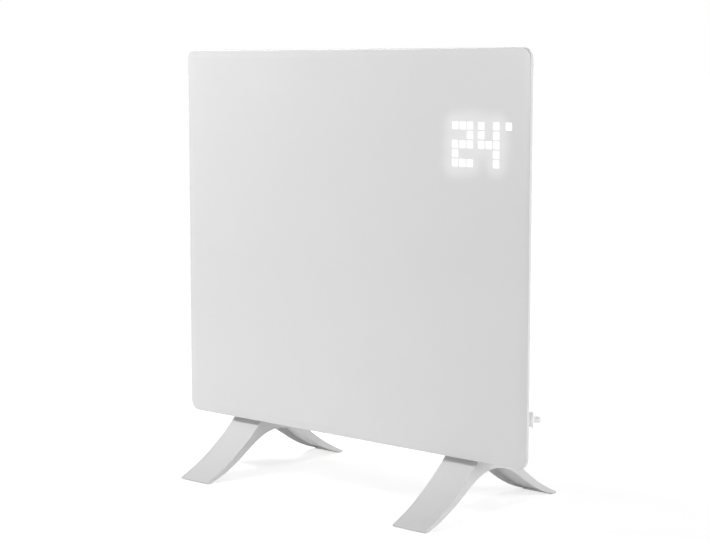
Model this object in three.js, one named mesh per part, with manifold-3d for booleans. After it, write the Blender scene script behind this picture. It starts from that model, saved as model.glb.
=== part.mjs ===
// A free-standing panel convector heater: a white glass front on a tapered steel casing, with a finned
// element and its controls inside, on two moulded feet. Millimetres, +Z up, the glass faces -Y, and the
// origin is on the floor under the middle of the feet.
import * as THREE from "three";
import { mergeVertices } from "three/addons/utils/BufferGeometryUtils.js";
import Module from "manifold-3d";

const wasm = await Module();
wasm.setup();

// ---------------------------------------------------------------- driving dimensions
// Whole heater
const BODY_DEPTH = 73; // face of the glass to the wall side of the hanger pads
const FLOOR_CLEARANCE = 65; // floor to the lower edge of the glass
const FIT = 0.3; // clearance between pieces that seat on each other
const SHEET = 1; // steel sheet of the casing and carrier

// Glass front and the foam ring that bonds it
const GLASS_WIDTH = 522;
const GLASS_HEIGHT = 450;
const GLASS_THICKNESS = 5;
const GLASS_CORNER = 11.5;
const GLASS_EDGE_ROUND = 1.2;
const TAPE_THICKNESS = 1.2;
const TAPE_WIDTH = 10;
const TAPE_INSET = 8; // glass edge to the tape

// Rear casing, a pressed tray that narrows towards the wall
const CASING_INSET = 5; // glass edge to the casing's rim, at the sides and the top
const CASING_BOTTOM_INSET = 3; // the same along the bottom
const CASING_CORNER = 10;
const CASING_TAPER_DEG = 37;
const CASING_EDGE_ROUND = 5; // rounding between a wall and the back
const SKIRT_DEPTH = 3.2; // straight rim before the walls start to slant
const CARRIER_FLANGE = 8;

// Air openings
const SLOT_LENGTH = 40;
const SLOT_WIDTH = 6;
const SLOT_GAP = 10; // between slots in a row
const SLOT_ROW_PITCH = 18;
const SLOT_MARGIN = 34; // casing corner to the first slot
const LOUVRE_LENGTH = 44;
const LOUVRE_HEIGHT = 9;
const LOUVRE_RISE = 3.2; // how far a pressed louvre stands off the back
const LOUVRE_GAP = 14;
const LOUVRE_ROW_PITCH = 17;
const LOUVRE_ROWS = 2;
const LOUVRE_FIELD_DROP = 62; // top of the back panel to the upper louvre field
const LOUVRE_FIELD_RISE = 84; // bottom of the casing to the lower louvre field

// Hanger pads on the back, each with a slot for a tongue of the wall bracket
const HANGER_PAD_WIDTH = 58;
const HANGER_PAD_HEIGHT = 34;
const HANGER_PAD_CORNER = 6;
const HANGER_PAD_RISE = 4; // how far a pad stands off the back
const HANGER_SLOT_LENGTH = 24;
const HANGER_SLOT_WIDTH = 3;
const HANGER_SIDE_INSET = 59; // side edge of the flat back to the middle of a pad
const HANGER_INSET = 30; // lower or upper edge of the flat back to the middle of a pad

// Screws
const SCREW_RADIUS = 1.6;
const SCREW_HEAD_RADIUS = 3.6;
const SCREW_HEAD_HEIGHT = 2.2;
const SCREW_HOLE_RADIUS = 2;
const SCREW_LENGTH = 16;
const PILLAR_RADIUS = 4.5;
const PILLAR_INSET = 13; // edge of the flat back to a pillar's axis

// Feet
const FOOT_LENGTH = 242;
const FOOT_WIDTH = 46.6;
const FOOT_INSET = 93.5; // glass edge to the middle of a foot
const FOOT_WALL = 2.6;
const FOOT_CROWN = 17.2; // height of a foot above its arch
const FOOT_TIP_THICKNESS = 3;
const FOOT_TIP_CORNER = 1.5;
const FOOT_LAND = 5; // flat stretch at the lower edge of a tip
const FOOT_LIFT = 0.6; // the shell stands this far off the floor, on its pads
const FOOT_SEAT_INSET = 6.5; // back of the glass to the end of the seat under the casing
const FOOT_SCREW_SPACING = 26;
const FOOT_BOSS_RADIUS = 5.5;
const FOOT_BOSS_HEIGHT = 12;
const FOOT_RIB = 2;
const FOOT_SWEEP_PULL = [0.45, 0.67]; // where the sweep bends, as shares of its run and of its fall
const FOOT_ARCH_PULL = [0.5, 0.3]; // where the arch leaves the tip, as shares of its reach and height
const FOOT_ARCH_CROWN_PULL = 0.35; // where it levels out under the crown, as a share of its reach
const FOOT_STEPS = 10;
const PAD_LENGTH = 4;

// Heating element
const ELEMENT_CORE_DEPTH = 12;
const ELEMENT_CORE_HEIGHT = 20;
const FIN_DEPTH = 34;
const FIN_HEIGHT = 58;
const FIN_THICKNESS = 1.2;
const FIN_PITCH = 15;
const FIN_CORNER = 5;
const ELEMENT_RISE = 78; // lower edge of the glass to the element's axis
const ELEMENT_END_GAP = 16; // room between an element end and what stands beside it
const ELEMENT_CAP_RADIUS = 6;
const ELEMENT_CAP_LENGTH = 14;
const BRACKET_SHEET = 1.2;
const BRACKET_HEIGHT = 64;
const BRACKET_FOOT = 14;
const SHIELD_SHEET = 0.8;
const SHIELD_STANDOFF = 4; // carrier to the heat shield
const SHIELD_HEIGHT = 190;
const SHIELD_RISE = 26; // lower edge of the glass to the heat shield
const SHIELD_LIP = 7; // length of the slanted lips above and below
const CUTOUT_RADIUS = 8;
const CUTOUT_HEIGHT = 5;
const CLIP_WIDTH = 6;
const CLIP_FOOT = 7;
const CLIP_GAP = 1; // cut-out to the clip beside it

// Controls
const BOX_WIDTH = 58;
const BOX_DEPTH = 34;
const BOX_HEIGHT = 150;
const BOX_WALL = 2;
const BOX_CORNER = 3;
const BOX_RISE = 88; // lower edge of the glass to the control box
const BOX_EDGE_GAP = 74; // glass edge to the control box
const LID_THICKNESS = 2;
const LID_RIM = 2; // how far the lid reaches into the box
const LID_RIM_WALL = 2;
const ENTRY_INSET = 8; // open side of the box to the middle of a cable entry
const ENTRY_CLEARANCE = 1; // round a lead in its entry
const BOARD_THICKNESS = 1.6;
const BOARD_STANDOFF = 4;
const BOARD_GAP = 1; // wall of the box to the board
const POST_RADIUS = 2.5;
const POST_INSET = 5; // wall of the box to a post's axis
const COMPONENT_CORNER = 1.2;
const RELAY_SIZE = [15, 15, 19];
const RELAY_INSET = 18; // left side of the box to the relay's middle
const RELAY_RISE = 48; // bottom of the box to the relay's middle
const TRANSFORMER_SIZE = [26, 20, 30];
const TRANSFORMER_DROP = 36; // top of the box to the transformer's middle
const CAPACITOR_RADIUS = 6;
const CAPACITOR_HEIGHT = 16;
const CAPACITOR_INSET = 16; // right side of the box to the capacitor's axis
const CAPACITOR_RISE = 52;
const TERMINAL_WAYS = 3;
const TERMINAL_PITCH = 10;
const TERMINAL_HEIGHT = 12;
const TERMINAL_DEPTH = 14;
const TERMINAL_RISE = 18;
const TERMINAL_SCREW_RADIUS = 2.2;
const TERMINAL_MOUTH = 5;
const TERMINAL_FLOOR = 2; // foot of the block to its cable mouths

// Display behind the glass: two digits and a degree mark made of square cells
const CELL_PITCH = 10.1;
const CELL_SIZE = 8.6;
const DIGIT_PITCH = 35.5;
const DIGIT_COLUMNS = 3;
const DIGIT_ROWS = 5;
const DEGREE_OFFSET = 16.4; // last digit's last column to the degree mark
const DISPLAY_RIGHT_INSET = 28; // glass edge to the middle of the degree mark
const DISPLAY_TOP_INSET = 83; // glass top to the middle of the top row
const DISPLAY_MARGIN = 2.4; // light grid beyond the outer cells
const DISPLAY_FLANGE = 2.2;
const GRID_DEPTH = 6.5;
const FILM_THICKNESS = 0.4;

// Cord gland on the right wall
const GLAND_DISC_RADIUS = 9;
const GLAND_STANDOFF = 6;
const GLAND_SLEEVE_RADIUS = 3.5;
const GLAND_SLEEVE_LENGTH = 8.8;
const GLAND_SHANK_RADIUS = 6;
const GLAND_SHANK_LENGTH = 9;
const GLAND_BORE_RADIUS = 1.9;
const GLAND_NUT_RADIUS = 9;
const GLAND_NUT_THICKNESS = 4;
const GLAND_EDGE_ROUND = 0.6;
const GLAND_NECK = 0.8; // the disc's lower half is this much smaller
const GLAND_DEPTH = 38; // glass face to the gland, along the depth
const GLAND_RISE = 47; // lower edge of the glass to the gland

// Mains rocker switch on the right wall
const SWITCH_RISE = 128;
const SWITCH_FROM_BACK = 17; // back panel to the switch, along the depth
const SWITCH_LENGTH = 19.2;
const SWITCH_WIDTH = 12.8;
const SWITCH_BODY = 13; // how far the frame reaches into the casing
const SWITCH_WALL = 1.2;
const SWITCH_FLANGE = 1;
const SWITCH_FLANGE_THICKNESS = 1.1;
const ROCKER_TILT_DEG = 6;
const ROCKER_GAP = 0.35;
const ROCKER_PIVOT_DROP = 3.2; // wall surface to the rocker's pivot
const ROCKER_CROWN = 0.4; // wall surface to the bottom of the rocker's hollow
const ROCKER_SKIRT = 2.6; // depth of the rocker's ends
const ROCKER_KEEL = 4; // pivot to the lowest part of the rocker
const ROCKER_KEEL_HALF = 1.5;
const PIVOT_RADIUS = 1.2;
const PIVOT_CLEARANCE = 0.1;

// Tip-over switch
const TILT_WIDTH = 14;
const TILT_DEPTH = 28;
const TILT_HEIGHT = 34;
const TILT_WALL = 1.4;
const TILT_DROP = 122; // glass top to the top of the tip-over switch
const TILT_SHIFT = 70; // control box to the tip-over switch
const PENDULUM_LENGTH = 16;
const PENDULUM_RADIUS = 4.2;
const PENDULUM_ROD = 3;
const PENDULUM_HUB = 3;
const PENDULUM_HEADROOM = 3; // top of the housing to the hub

// Air sensor
const SENSOR_RADIUS = 2.5;
const SENSOR_LENGTH = 18;
const SENSOR_SHIFT = 40; // control box to the sensor
const SENSOR_RISE = 14; // lower edge of the glass to the sensor
const SENSOR_CLIP_WALL = 1;

// Inner wiring
const MAINS_LEAD_RADIUS = 2.6;
const LEAD_RADIUS = 1.5;
const LEAD_SIDES = 8;
const LEAD_STEPS = 10;
const LEAD_INTO_BOX = 6; // how far a lead reaches into the control box
const LEAD_BEND = 6; // a lead runs straight for about this far before it turns

// Fineness of round shapes
const CORNER_STEPS = 3; // half the facets of a rounded corner
const SMALL_CORNER_STEPS = 1;
const ROUND_SIDES = 16;
const SMALL_SIDES = 12;
const SCREW_SIDES = 8;
const CUT = 2; // how far a cutting shape reaches past what it cuts

// ---------------------------------------------------------------- places worked out from them
const taper = THREE.MathUtils.degToRad(CASING_TAPER_DEG);
const glassFrontY = -BODY_DEPTH / 2;
const glassTopZ = FLOOR_CLEARANCE + GLASS_HEIGHT;
const glassMiddleZ = FLOOR_CLEARANCE + GLASS_HEIGHT / 2;
const steelFront = GLASS_THICKNESS + TAPE_THICKNESS + 2 * FIT;
const carrierBack = steelFront + SHEET;
const skirtEnd = steelFront + SKIRT_DEPTH;
const panelBack = BODY_DEPTH - HANGER_PAD_RISE;
const rimHalfWidth = GLASS_WIDTH / 2 - CASING_INSET;
const rimTop = glassTopZ - CASING_INSET;
const rimBottom = FLOOR_CLEARANCE + CASING_BOTTOM_INSET;
const footX = GLASS_WIDTH / 2 - FOOT_INSET;
const footTop = rimBottom - FIT;
const boxRight = GLASS_WIDTH / 2 - BOX_EDGE_GAP;
const boxLeft = boxRight - BOX_WIDTH;
const boxBottom = FLOOR_CLEARANCE + BOX_RISE;
const boxTop = boxBottom + BOX_HEIGHT;
const boxFront = carrierBack + FIT;
const boxBack = boxFront + BOX_DEPTH;
const shieldFront = carrierBack + SHIELD_STANDOFF;
const shieldBack = shieldFront + SHIELD_SHEET;
const shieldBottom = FLOOR_CLEARANCE + SHIELD_RISE;
const elementDepth = (shieldBack + panelBack - SHEET) / 2;
const elementZ = FLOOR_CLEARANCE + ELEMENT_RISE;

/** The Y of a depth behind the face of the glass. */
function atDepth(depth) {
  return glassFrontY + depth;
}

// ---------------------------------------------------------------- shape helpers
/** A closed geometry as a solid that can be joined and cut. */
function solid(geometry) {
  const bare = new THREE.BufferGeometry();
  bare.setAttribute("position", geometry.getAttribute("position"));
  bare.setIndex(geometry.getIndex());
  const merged = mergeVertices(bare, 1e-4);
  const corners = merged.index.array;
  const kept = [];
  for (let i = 0; i < corners.length; i += 3) {
    const [a, b, c] = corners.slice(i, i + 3);
    if (a !== b && b !== c && c !== a) kept.push(a, b, c);
  }
  const mesh = new wasm.Mesh({
    numProp: 3,
    vertProperties: merged.attributes.position.array,
    triVerts: new Uint32Array(kept),
  });
  return new wasm.Manifold(mesh);
}

/** Several solids joined into one. */
function join(...solids) {
  return solids.reduce((all, next) => all.add(next));
}

/** A solid as a drawable geometry. */
function geometryOf(made) {
  const mesh = made.getMesh();
  const geometry = new THREE.BufferGeometry();
  geometry.setAttribute("position", new THREE.BufferAttribute(mesh.vertProperties, 3));
  geometry.setIndex(new THREE.BufferAttribute(mesh.triVerts, 1));
  return geometry;
}

/** A rectangular block between two corners given as [x, depth, z]. */
function block([x0, d0, z0], [x1, d1, z1]) {
  const box = new THREE.BoxGeometry(x1 - x0, d1 - d0, z1 - z0);
  return solid(box.translate((x0 + x1) / 2, atDepth((d0 + d1) / 2), (z0 + z1) / 2));
}

/** A block centred on the origin of its own frame. */
function blockOf(x, y, z) {
  return solid(new THREE.BoxGeometry(x, y, z));
}

/** A rectangle with rounded corners. */
function roundedRectangle(width, height, radius, x = 0, y = 0) {
  const shape = new THREE.Shape();
  const [left, right, low, high] = [x - width / 2, x + width / 2, y - height / 2, y + height / 2];
  shape.moveTo(left + radius, low);
  shape.lineTo(right - radius, low);
  shape.absarc(right - radius, low + radius, radius, -Math.PI / 2, 0);
  shape.lineTo(right, high - radius);
  shape.absarc(right - radius, high - radius, radius, 0, Math.PI / 2);
  shape.lineTo(left + radius, high);
  shape.absarc(left + radius, high - radius, radius, Math.PI / 2, Math.PI);
  shape.lineTo(left, low + radius);
  shape.absarc(left + radius, low + radius, radius, Math.PI, 1.5 * Math.PI);
  return shape;
}

/** An outline in X and Z made solid between two depths behind the glass's face. */
function slab(shape, from, to, steps = CORNER_STEPS) {
  const options = { depth: to - from, bevelEnabled: false, curveSegments: steps };
  const geometry = new THREE.ExtrudeGeometry(shape, options);
  return solid(geometry.rotateX(Math.PI / 2).translate(0, atDepth(to), 0));
}

/** An outline in Y and Z made solid along X, centred on x. */
function beam(shape, length, x = 0, steps = SMALL_CORNER_STEPS) {
  const options = { depth: length, bevelEnabled: false, curveSegments: steps };
  const geometry = new THREE.ExtrudeGeometry(shape, options);
  const turn = new THREE.Matrix4().set(0, 0, 1, x - length / 2, 1, 0, 0, 0, 0, 1, 0, 0, 0, 0, 0, 1);
  return solid(geometry.applyMatrix4(turn));
}

/** An outline in the local X and Y made solid upwards between two heights. */
function prism(shape, from, to, steps = CORNER_STEPS) {
  const options = { depth: to - from, bevelEnabled: false, curveSegments: steps };
  return solid(new THREE.ExtrudeGeometry(shape, options).translate(0, 0, from));
}

/** A closed polygon from a list of [x, y]. */
function polygon(points) {
  return new THREE.Shape(points.map(([x, y]) => new THREE.Vector2(x, y)));
}

/** A round bar along the local Z between two heights. */
function rod(radius, from, to, sides = SMALL_SIDES) {
  const bar = new THREE.CylinderGeometry(radius, radius, to - from, sides);
  return solid(bar.rotateX(Math.PI / 2).translate(0, 0, (from + to) / 2));
}

/** A turned piece about the local Z from a profile of [radius, height], low end first. */
function turned(profile, sides = ROUND_SIDES) {
  const points = profile.map(([radius, height]) => new THREE.Vector2(radius, height));
  return solid(new THREE.LatheGeometry(points, sides).rotateX(Math.PI / 2));
}

/** A solid moved by a matrix. */
function moved(made, matrix) {
  return made.transform([...matrix.elements]);
}

/** A solid shifted to [x, depth, z]. */
function placed(made, [x, depth, z]) {
  return moved(made, new THREE.Matrix4().makeTranslation(x, atDepth(depth), z));
}

/** A bar or turned piece along the local Z, laid along the depth. */
const alongDepth = new THREE.Matrix4().makeRotationX(-Math.PI / 2);
/** The same, laid along X. */
const alongX = new THREE.Matrix4().makeRotationY(Math.PI / 2);

/** The cross-section of a bent sheet: a run of [x, y] points, thickened to its left. */
function bentSheet(points, thickness) {
  const runs = points.slice(1).map(([x, y], i) => {
    const length = Math.hypot(x - points[i][0], y - points[i][1]);
    return [(x - points[i][0]) / length, (y - points[i][1]) / length];
  });
  const offset = points.map(([x, y], i) => {
    const before = runs[Math.max(0, i - 1)];
    const after = runs[Math.min(runs.length - 1, i)];
    const normal = [-(before[1] + after[1]), before[0] + after[0]];
    const share = thickness / (0.5 * (normal[0] ** 2 + normal[1] ** 2));
    return [x + normal[0] * share, y + normal[1] * share];
  });
  return polygon([...points, ...offset.reverse()]);
}

/** A solid through a row of convex rings, front ring first, each counterclockwise from the front. */
function loft(rings) {
  const size = rings[0].length;
  const indices = [];
  for (let r = 0; r + 1 < rings.length; r++) {
    for (let i = 0; i < size; i++) {
      const a = r * size + i;
      const b = r * size + ((i + 1) % size);
      indices.push(a, a + size, b + size, a, b + size, b);
    }
  }
  const last = (rings.length - 1) * size;
  for (let i = 1; i + 1 < size; i++) {
    indices.push(0, i, i + 1, last, last + i + 1, last + i);
  }
  const geometry = new THREE.BufferGeometry().setFromPoints(rings.flat());
  return solid(geometry.setIndex(indices));
}

/** A ring of points round a rounded rectangle at a depth. */
function ring(left, right, low, high, radius, depth, steps = CORNER_STEPS) {
  const [x, z] = [(left + right) / 2, (low + high) / 2];
  const shape = roundedRectangle(right - left, high - low, radius, x, z);
  const points = shape.getPoints(steps);
  const unique = points.filter((p, i) => i === 0 || p.distanceTo(points[i - 1]) > 1e-6);
  if (unique[0].distanceTo(unique.at(-1)) < 1e-6) unique.pop();
  return unique.map((p) => new THREE.Vector3(p.x, atDepth(depth), p.y));
}

// ---------------------------------------------------------------- the casing's tapered form
/** How far a wall has come in from the rim at a depth. offset is the surface's distance inside the skin. */
function wallShift(depth, slant, offset) {
  const line = (d) => Math.max(0, d - skirtEnd) * Math.tan(slant) + offset / Math.cos(slant);
  const round = CASING_EDGE_ROUND - offset;
  const centre = panelBack - offset - round;
  const touch = centre + round * Math.sin(slant);
  if (depth <= touch) return line(depth);
  const rise = Math.min(1, (depth - centre) / round);
  return line(touch) + round * (Math.cos(slant) - Math.sqrt(1 - rise * rise));
}

/** The casing's outline at a depth. */
function casingRing(depth, offset) {
  const side = wallShift(depth, taper, offset);
  const base = wallShift(depth, 0, offset);
  const half = rimHalfWidth - side;
  return ring(-half, half, rimBottom + base, rimTop - side, CASING_CORNER - offset, depth);
}

/** The casing's form, or one inside it, between two depths. */
function casingForm(from, to, offset) {
  const round = CASING_EDGE_ROUND - offset;
  const centre = panelBack - offset - round;
  const arc = [0, taper, 0.36 * Math.PI, 0.5 * Math.PI];
  const depths = [skirtEnd, ...arc.map((angle) => centre + round * Math.sin(angle))];
  const between = depths.filter((depth) => depth > from + 0.01 && depth < to - 0.01);
  return loft([from, ...between, to].map((depth) => casingRing(depth, offset)));
}

/** A frame on the right wall: local Z points out of the wall, Y up its slant to the back, X down. */
function onRightWall(depth, z) {
  const out = new THREE.Vector3(Math.cos(taper), Math.sin(taper), 0);
  const back = new THREE.Vector3(-Math.sin(taper), Math.cos(taper), 0);
  const down = new THREE.Vector3(0, 0, -1);
  const x = rimHalfWidth - wallShift(depth, taper, 0);
  return new THREE.Matrix4().makeBasis(down, back, out).setPosition(x, atDepth(depth), z);
}

/** A frame on the top wall: local Z points out of the wall, Y down its slant to the back. */
function onTopWall(depth, x) {
  const out = new THREE.Vector3(0, Math.sin(taper), Math.cos(taper));
  const back = new THREE.Vector3(0, Math.cos(taper), -Math.sin(taper));
  const along = new THREE.Vector3(1, 0, 0);
  const z = rimTop - wallShift(depth, taper, 0);
  return new THREE.Matrix4().makeBasis(along, back, out).setPosition(x, atDepth(depth), z);
}

const backHalfWidth = rimHalfWidth - wallShift(panelBack, taper, 0);
const backTop = rimTop - wallShift(panelBack, taper, 0);
const backBottom = rimBottom + wallShift(panelBack, 0, 0);
const glandPlace = onRightWall(GLAND_DEPTH, FLOOR_CLEARANCE + GLAND_RISE);
const switchPlace = onRightWall(panelBack - SWITCH_FROM_BACK, FLOOR_CLEARANCE + SWITCH_RISE);

/** The middles of as many equal items as fit a length, centred on zero. */
function spread(room, length, gap) {
  const count = Math.max(1, Math.floor((room + gap) / (length + gap)));
  return Array.from({ length: count }, (_, i) => (i - (count - 1) / 2) * (length + gap));
}

/** Where the six pillars and back screws stand, as [x, z]. */
function pillarPlaces() {
  const x = backHalfWidth - PILLAR_INSET;
  const [low, high] = [backBottom + PILLAR_INSET, backTop - PILLAR_INSET];
  const middle = (low + high) / 2;
  return [low, middle, high].flatMap((z) => [-x, x].map((side) => [side, z]));
}

/** Where the two screws of a foot stand, as Y. */
const footScrewYs = [-FOOT_SCREW_SPACING / 2, FOOT_SCREW_SPACING / 2];

// ---------------------------------------------------------------- glass front
/** The glass: rounded corners and a polished edge. */
function glassPanel() {
  const inset = 2 * GLASS_EDGE_ROUND;
  const corner = GLASS_CORNER - GLASS_EDGE_ROUND;
  const shape = roundedRectangle(GLASS_WIDTH - inset, GLASS_HEIGHT - inset, corner, 0, glassMiddleZ);
  const geometry = new THREE.ExtrudeGeometry(shape, {
    depth: GLASS_THICKNESS - inset,
    bevelThickness: GLASS_EDGE_ROUND,
    bevelSize: GLASS_EDGE_ROUND,
    bevelSegments: 2,
    curveSegments: CORNER_STEPS + 1,
  });
  geometry.rotateX(Math.PI / 2).translate(0, atDepth(GLASS_THICKNESS - GLASS_EDGE_ROUND), 0);
  return solid(geometry);
}

/** The foam ring between the glass and the carrier. */
function glassTape() {
  const outline = (inset) =>
    roundedRectangle(
      GLASS_WIDTH - 2 * inset,
      GLASS_HEIGHT - 2 * inset,
      Math.max(1, GLASS_CORNER - inset),
      0,
      glassMiddleZ,
    );
  const from = GLASS_THICKNESS + FIT;
  const to = from + TAPE_THICKNESS;
  const inner = slab(outline(TAPE_INSET + TAPE_WIDTH), from - CUT, to + CUT, SMALL_CORNER_STEPS);
  return slab(outline(TAPE_INSET), from, to, SMALL_CORNER_STEPS).subtract(inner);
}

// ---------------------------------------------------------------- display
const digitWidth = (DIGIT_COLUMNS - 1) * CELL_PITCH;
const degreeX = GLASS_WIDTH / 2 - DISPLAY_RIGHT_INSET;
const unitsX = degreeX - DEGREE_OFFSET - digitWidth;
const topRowZ = glassTopZ - DISPLAY_TOP_INSET;
const bottomRowZ = topRowZ - (DIGIT_ROWS - 1) * CELL_PITCH;
const displayEdge = CELL_SIZE / 2 + DISPLAY_MARGIN;
const displayLeft = unitsX - DIGIT_PITCH - displayEdge;
const displayRight = degreeX + displayEdge;
const displayLow = bottomRowZ - displayEdge;
const displayHigh = topRowZ + displayEdge;
const filmFront = GLASS_THICKNESS + FIT;
const gridFront = filmFront + FILM_THICKNESS + FIT;
const gridBack = gridFront + GRID_DEPTH;

/** The middles of all light cells, as [x, z]: every cell of two digits, and the degree mark. */
function cellPlaces() {
  const rows = Array.from({ length: DIGIT_ROWS }, (_, row) => topRowZ - row * CELL_PITCH);
  const columns = Array.from({ length: DIGIT_COLUMNS }, (_, column) => column * CELL_PITCH);
  const digits = [unitsX - DIGIT_PITCH, unitsX].flatMap((start) =>
    rows.flatMap((z) => columns.map((x) => [start + x, z])),
  );
  return [...digits, [degreeX, topRowZ]];
}

/** A plate over the display field, grown by a margin. */
function displayPlate(margin, from, to) {
  const low = [displayLeft - margin, from, displayLow - margin];
  return block(low, [displayRight + margin, to, displayHigh + margin]);
}

/** The moulded grid that keeps the light of one cell out of the next. */
function displayLightGrid() {
  const flangeFront = carrierBack + FIT;
  const body = join(
    displayPlate(0, gridFront, gridBack),
    displayPlate(DISPLAY_FLANGE, flangeFront, gridBack),
  );
  const half = CELL_SIZE / 2;
  const cells = cellPlaces().map(([x, z]) =>
    block([x - half, gridFront - CUT, z - half], [x + half, gridBack + CUT, z + half]),
  );
  return body.subtract(join(...cells));
}

// ---------------------------------------------------------------- front carrier
/** The folded steel tray behind the glass, with its window, pillars and stiffening beads. */
function frontCarrier() {
  const offset = SHEET + FIT;
  const flangeEnd = carrierBack + CARRIER_FLANGE;
  const tray = casingForm(steelFront, flangeEnd, offset).subtract(
    casingForm(carrierBack, flangeEnd + CUT, offset + SHEET),
  );
  const pillarEnd = panelBack - SHEET - FIT;
  const pillarLength = pillarEnd - carrierBack + SHEET / 2;
  const pillar = moved(rod(PILLAR_RADIUS, 0, pillarLength, SCREW_SIDES), alongDepth);
  const bore = moved(rod(SCREW_HOLE_RADIUS, 0, SCREW_LENGTH + CUT, SCREW_SIDES), alongDepth);
  const pillars = pillarPlaces().map(([x, z]) => placed(pillar, [x, carrierBack - SHEET / 2, z]));
  const bores = pillarPlaces().map(([x, z]) => placed(bore, [x, pillarEnd - SCREW_LENGTH, z]));
  const window = displayPlate(FIT, steelFront - CUT, carrierBack + CUT);
  return join(tray, ...pillars).subtract(join(window, ...bores));
}

// ---------------------------------------------------------------- rear casing
/** A long hole with round ends, to be cut through a wall along the local Z. */
function slotCutter(length, width) {
  const reach = (length - width) / 2;
  const shape = new THREE.Shape();
  shape.absarc(reach, 0, width / 2, -Math.PI / 2, Math.PI / 2);
  shape.absarc(-reach, 0, width / 2, Math.PI / 2, 1.5 * Math.PI);
  return prism(shape, -SHEET - CUT, CUT, 2 * SMALL_CORNER_STEPS);
}

/** The outlet slots in the slanted top wall, and the inlet slots in the bottom. */
function airSlots() {
  const room = 2 * (backHalfWidth - SLOT_MARGIN) + CASING_EDGE_ROUND;
  const cutter = slotCutter(SLOT_LENGTH, SLOT_WIDTH);
  const rows = [-SLOT_ROW_PITCH / 2, SLOT_ROW_PITCH / 2];
  const middle = (skirtEnd + panelBack) / 2;
  const top = rows.flatMap((row) =>
    spread(room, SLOT_LENGTH, SLOT_GAP).map((x) => moved(cutter, onTopWall(middle + row, x))),
  );
  const turnDown = new THREE.Matrix4().makeRotationX(Math.PI);
  const between = 2 * (footX - FOOT_WIDTH / 2 - SLOT_GAP);
  const bottom = rows.flatMap((row) =>
    spread(between, SLOT_LENGTH, SLOT_GAP).map((x) =>
      placed(moved(cutter, turnDown), [x, middle + row, rimBottom]),
    ),
  );
  return join(...top, ...bottom);
}

/** The side view of a louvre's skin, in depth and height, moved in by an offset. */
function louvreProfile(inset) {
  const steps = 3;
  const face = panelBack - inset;
  const curve = Array.from({ length: steps + 1 }, (_, i) => {
    const t = i / steps;
    const depth = face + LOUVRE_RISE * Math.sin((t * Math.PI) / 2);
    return [atDepth(depth), LOUVRE_HEIGHT * (0.5 - t)];
  });
  const root = atDepth(panelBack - SHEET - (inset ? CUT : 0));
  const low = -LOUVRE_HEIGHT / 2 - inset;
  curve[steps][1] = low;
  return polygon([[root, LOUVRE_HEIGHT / 2], ...curve, [root, low]].reverse());
}

/** Where the louvres stand on the back, as [x, z]. */
function louvrePlaces() {
  const room = 2 * (backHalfWidth - PILLAR_INSET - SCREW_HEAD_RADIUS - LOUVRE_GAP);
  const columns = spread(room, LOUVRE_LENGTH, LOUVRE_GAP);
  const fields = [backTop - LOUVRE_FIELD_DROP, rimBottom + LOUVRE_FIELD_RISE];
  const rows = Array.from({ length: LOUVRE_ROWS }, (_, row) => row * LOUVRE_ROW_PITCH);
  return fields.flatMap((start) => rows.flatMap((row) => columns.map((x) => [x, start - row])));
}

/** Where the hanger pads stand on the back, as [x, z]. */
function hangerPlaces() {
  const reach = backHalfWidth - HANGER_SIDE_INSET;
  const rows = [backBottom + HANGER_INSET, backTop - HANGER_INSET];
  return rows.flatMap((z) => [-reach, reach].map((x) => [x, z]));
}

/** The pressed form of a hanger pad about its own middle, its face moved in by an offset. */
function hangerForm(inset, root) {
  const slope = HANGER_PAD_RISE / 2;
  const outline = (grow, depth) => {
    const halfWidth = HANGER_PAD_WIDTH / 2 + grow - inset;
    const halfHeight = HANGER_PAD_HEIGHT / 2 + grow - inset;
    const corner = HANGER_PAD_CORNER + grow - inset;
    return ring(-halfWidth, halfWidth, -halfHeight, halfHeight, corner, depth, SMALL_CORNER_STEPS);
  };
  return loft([outline(slope, root), outline(slope, panelBack - inset), outline(0, BODY_DEPTH - inset)]);
}

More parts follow.
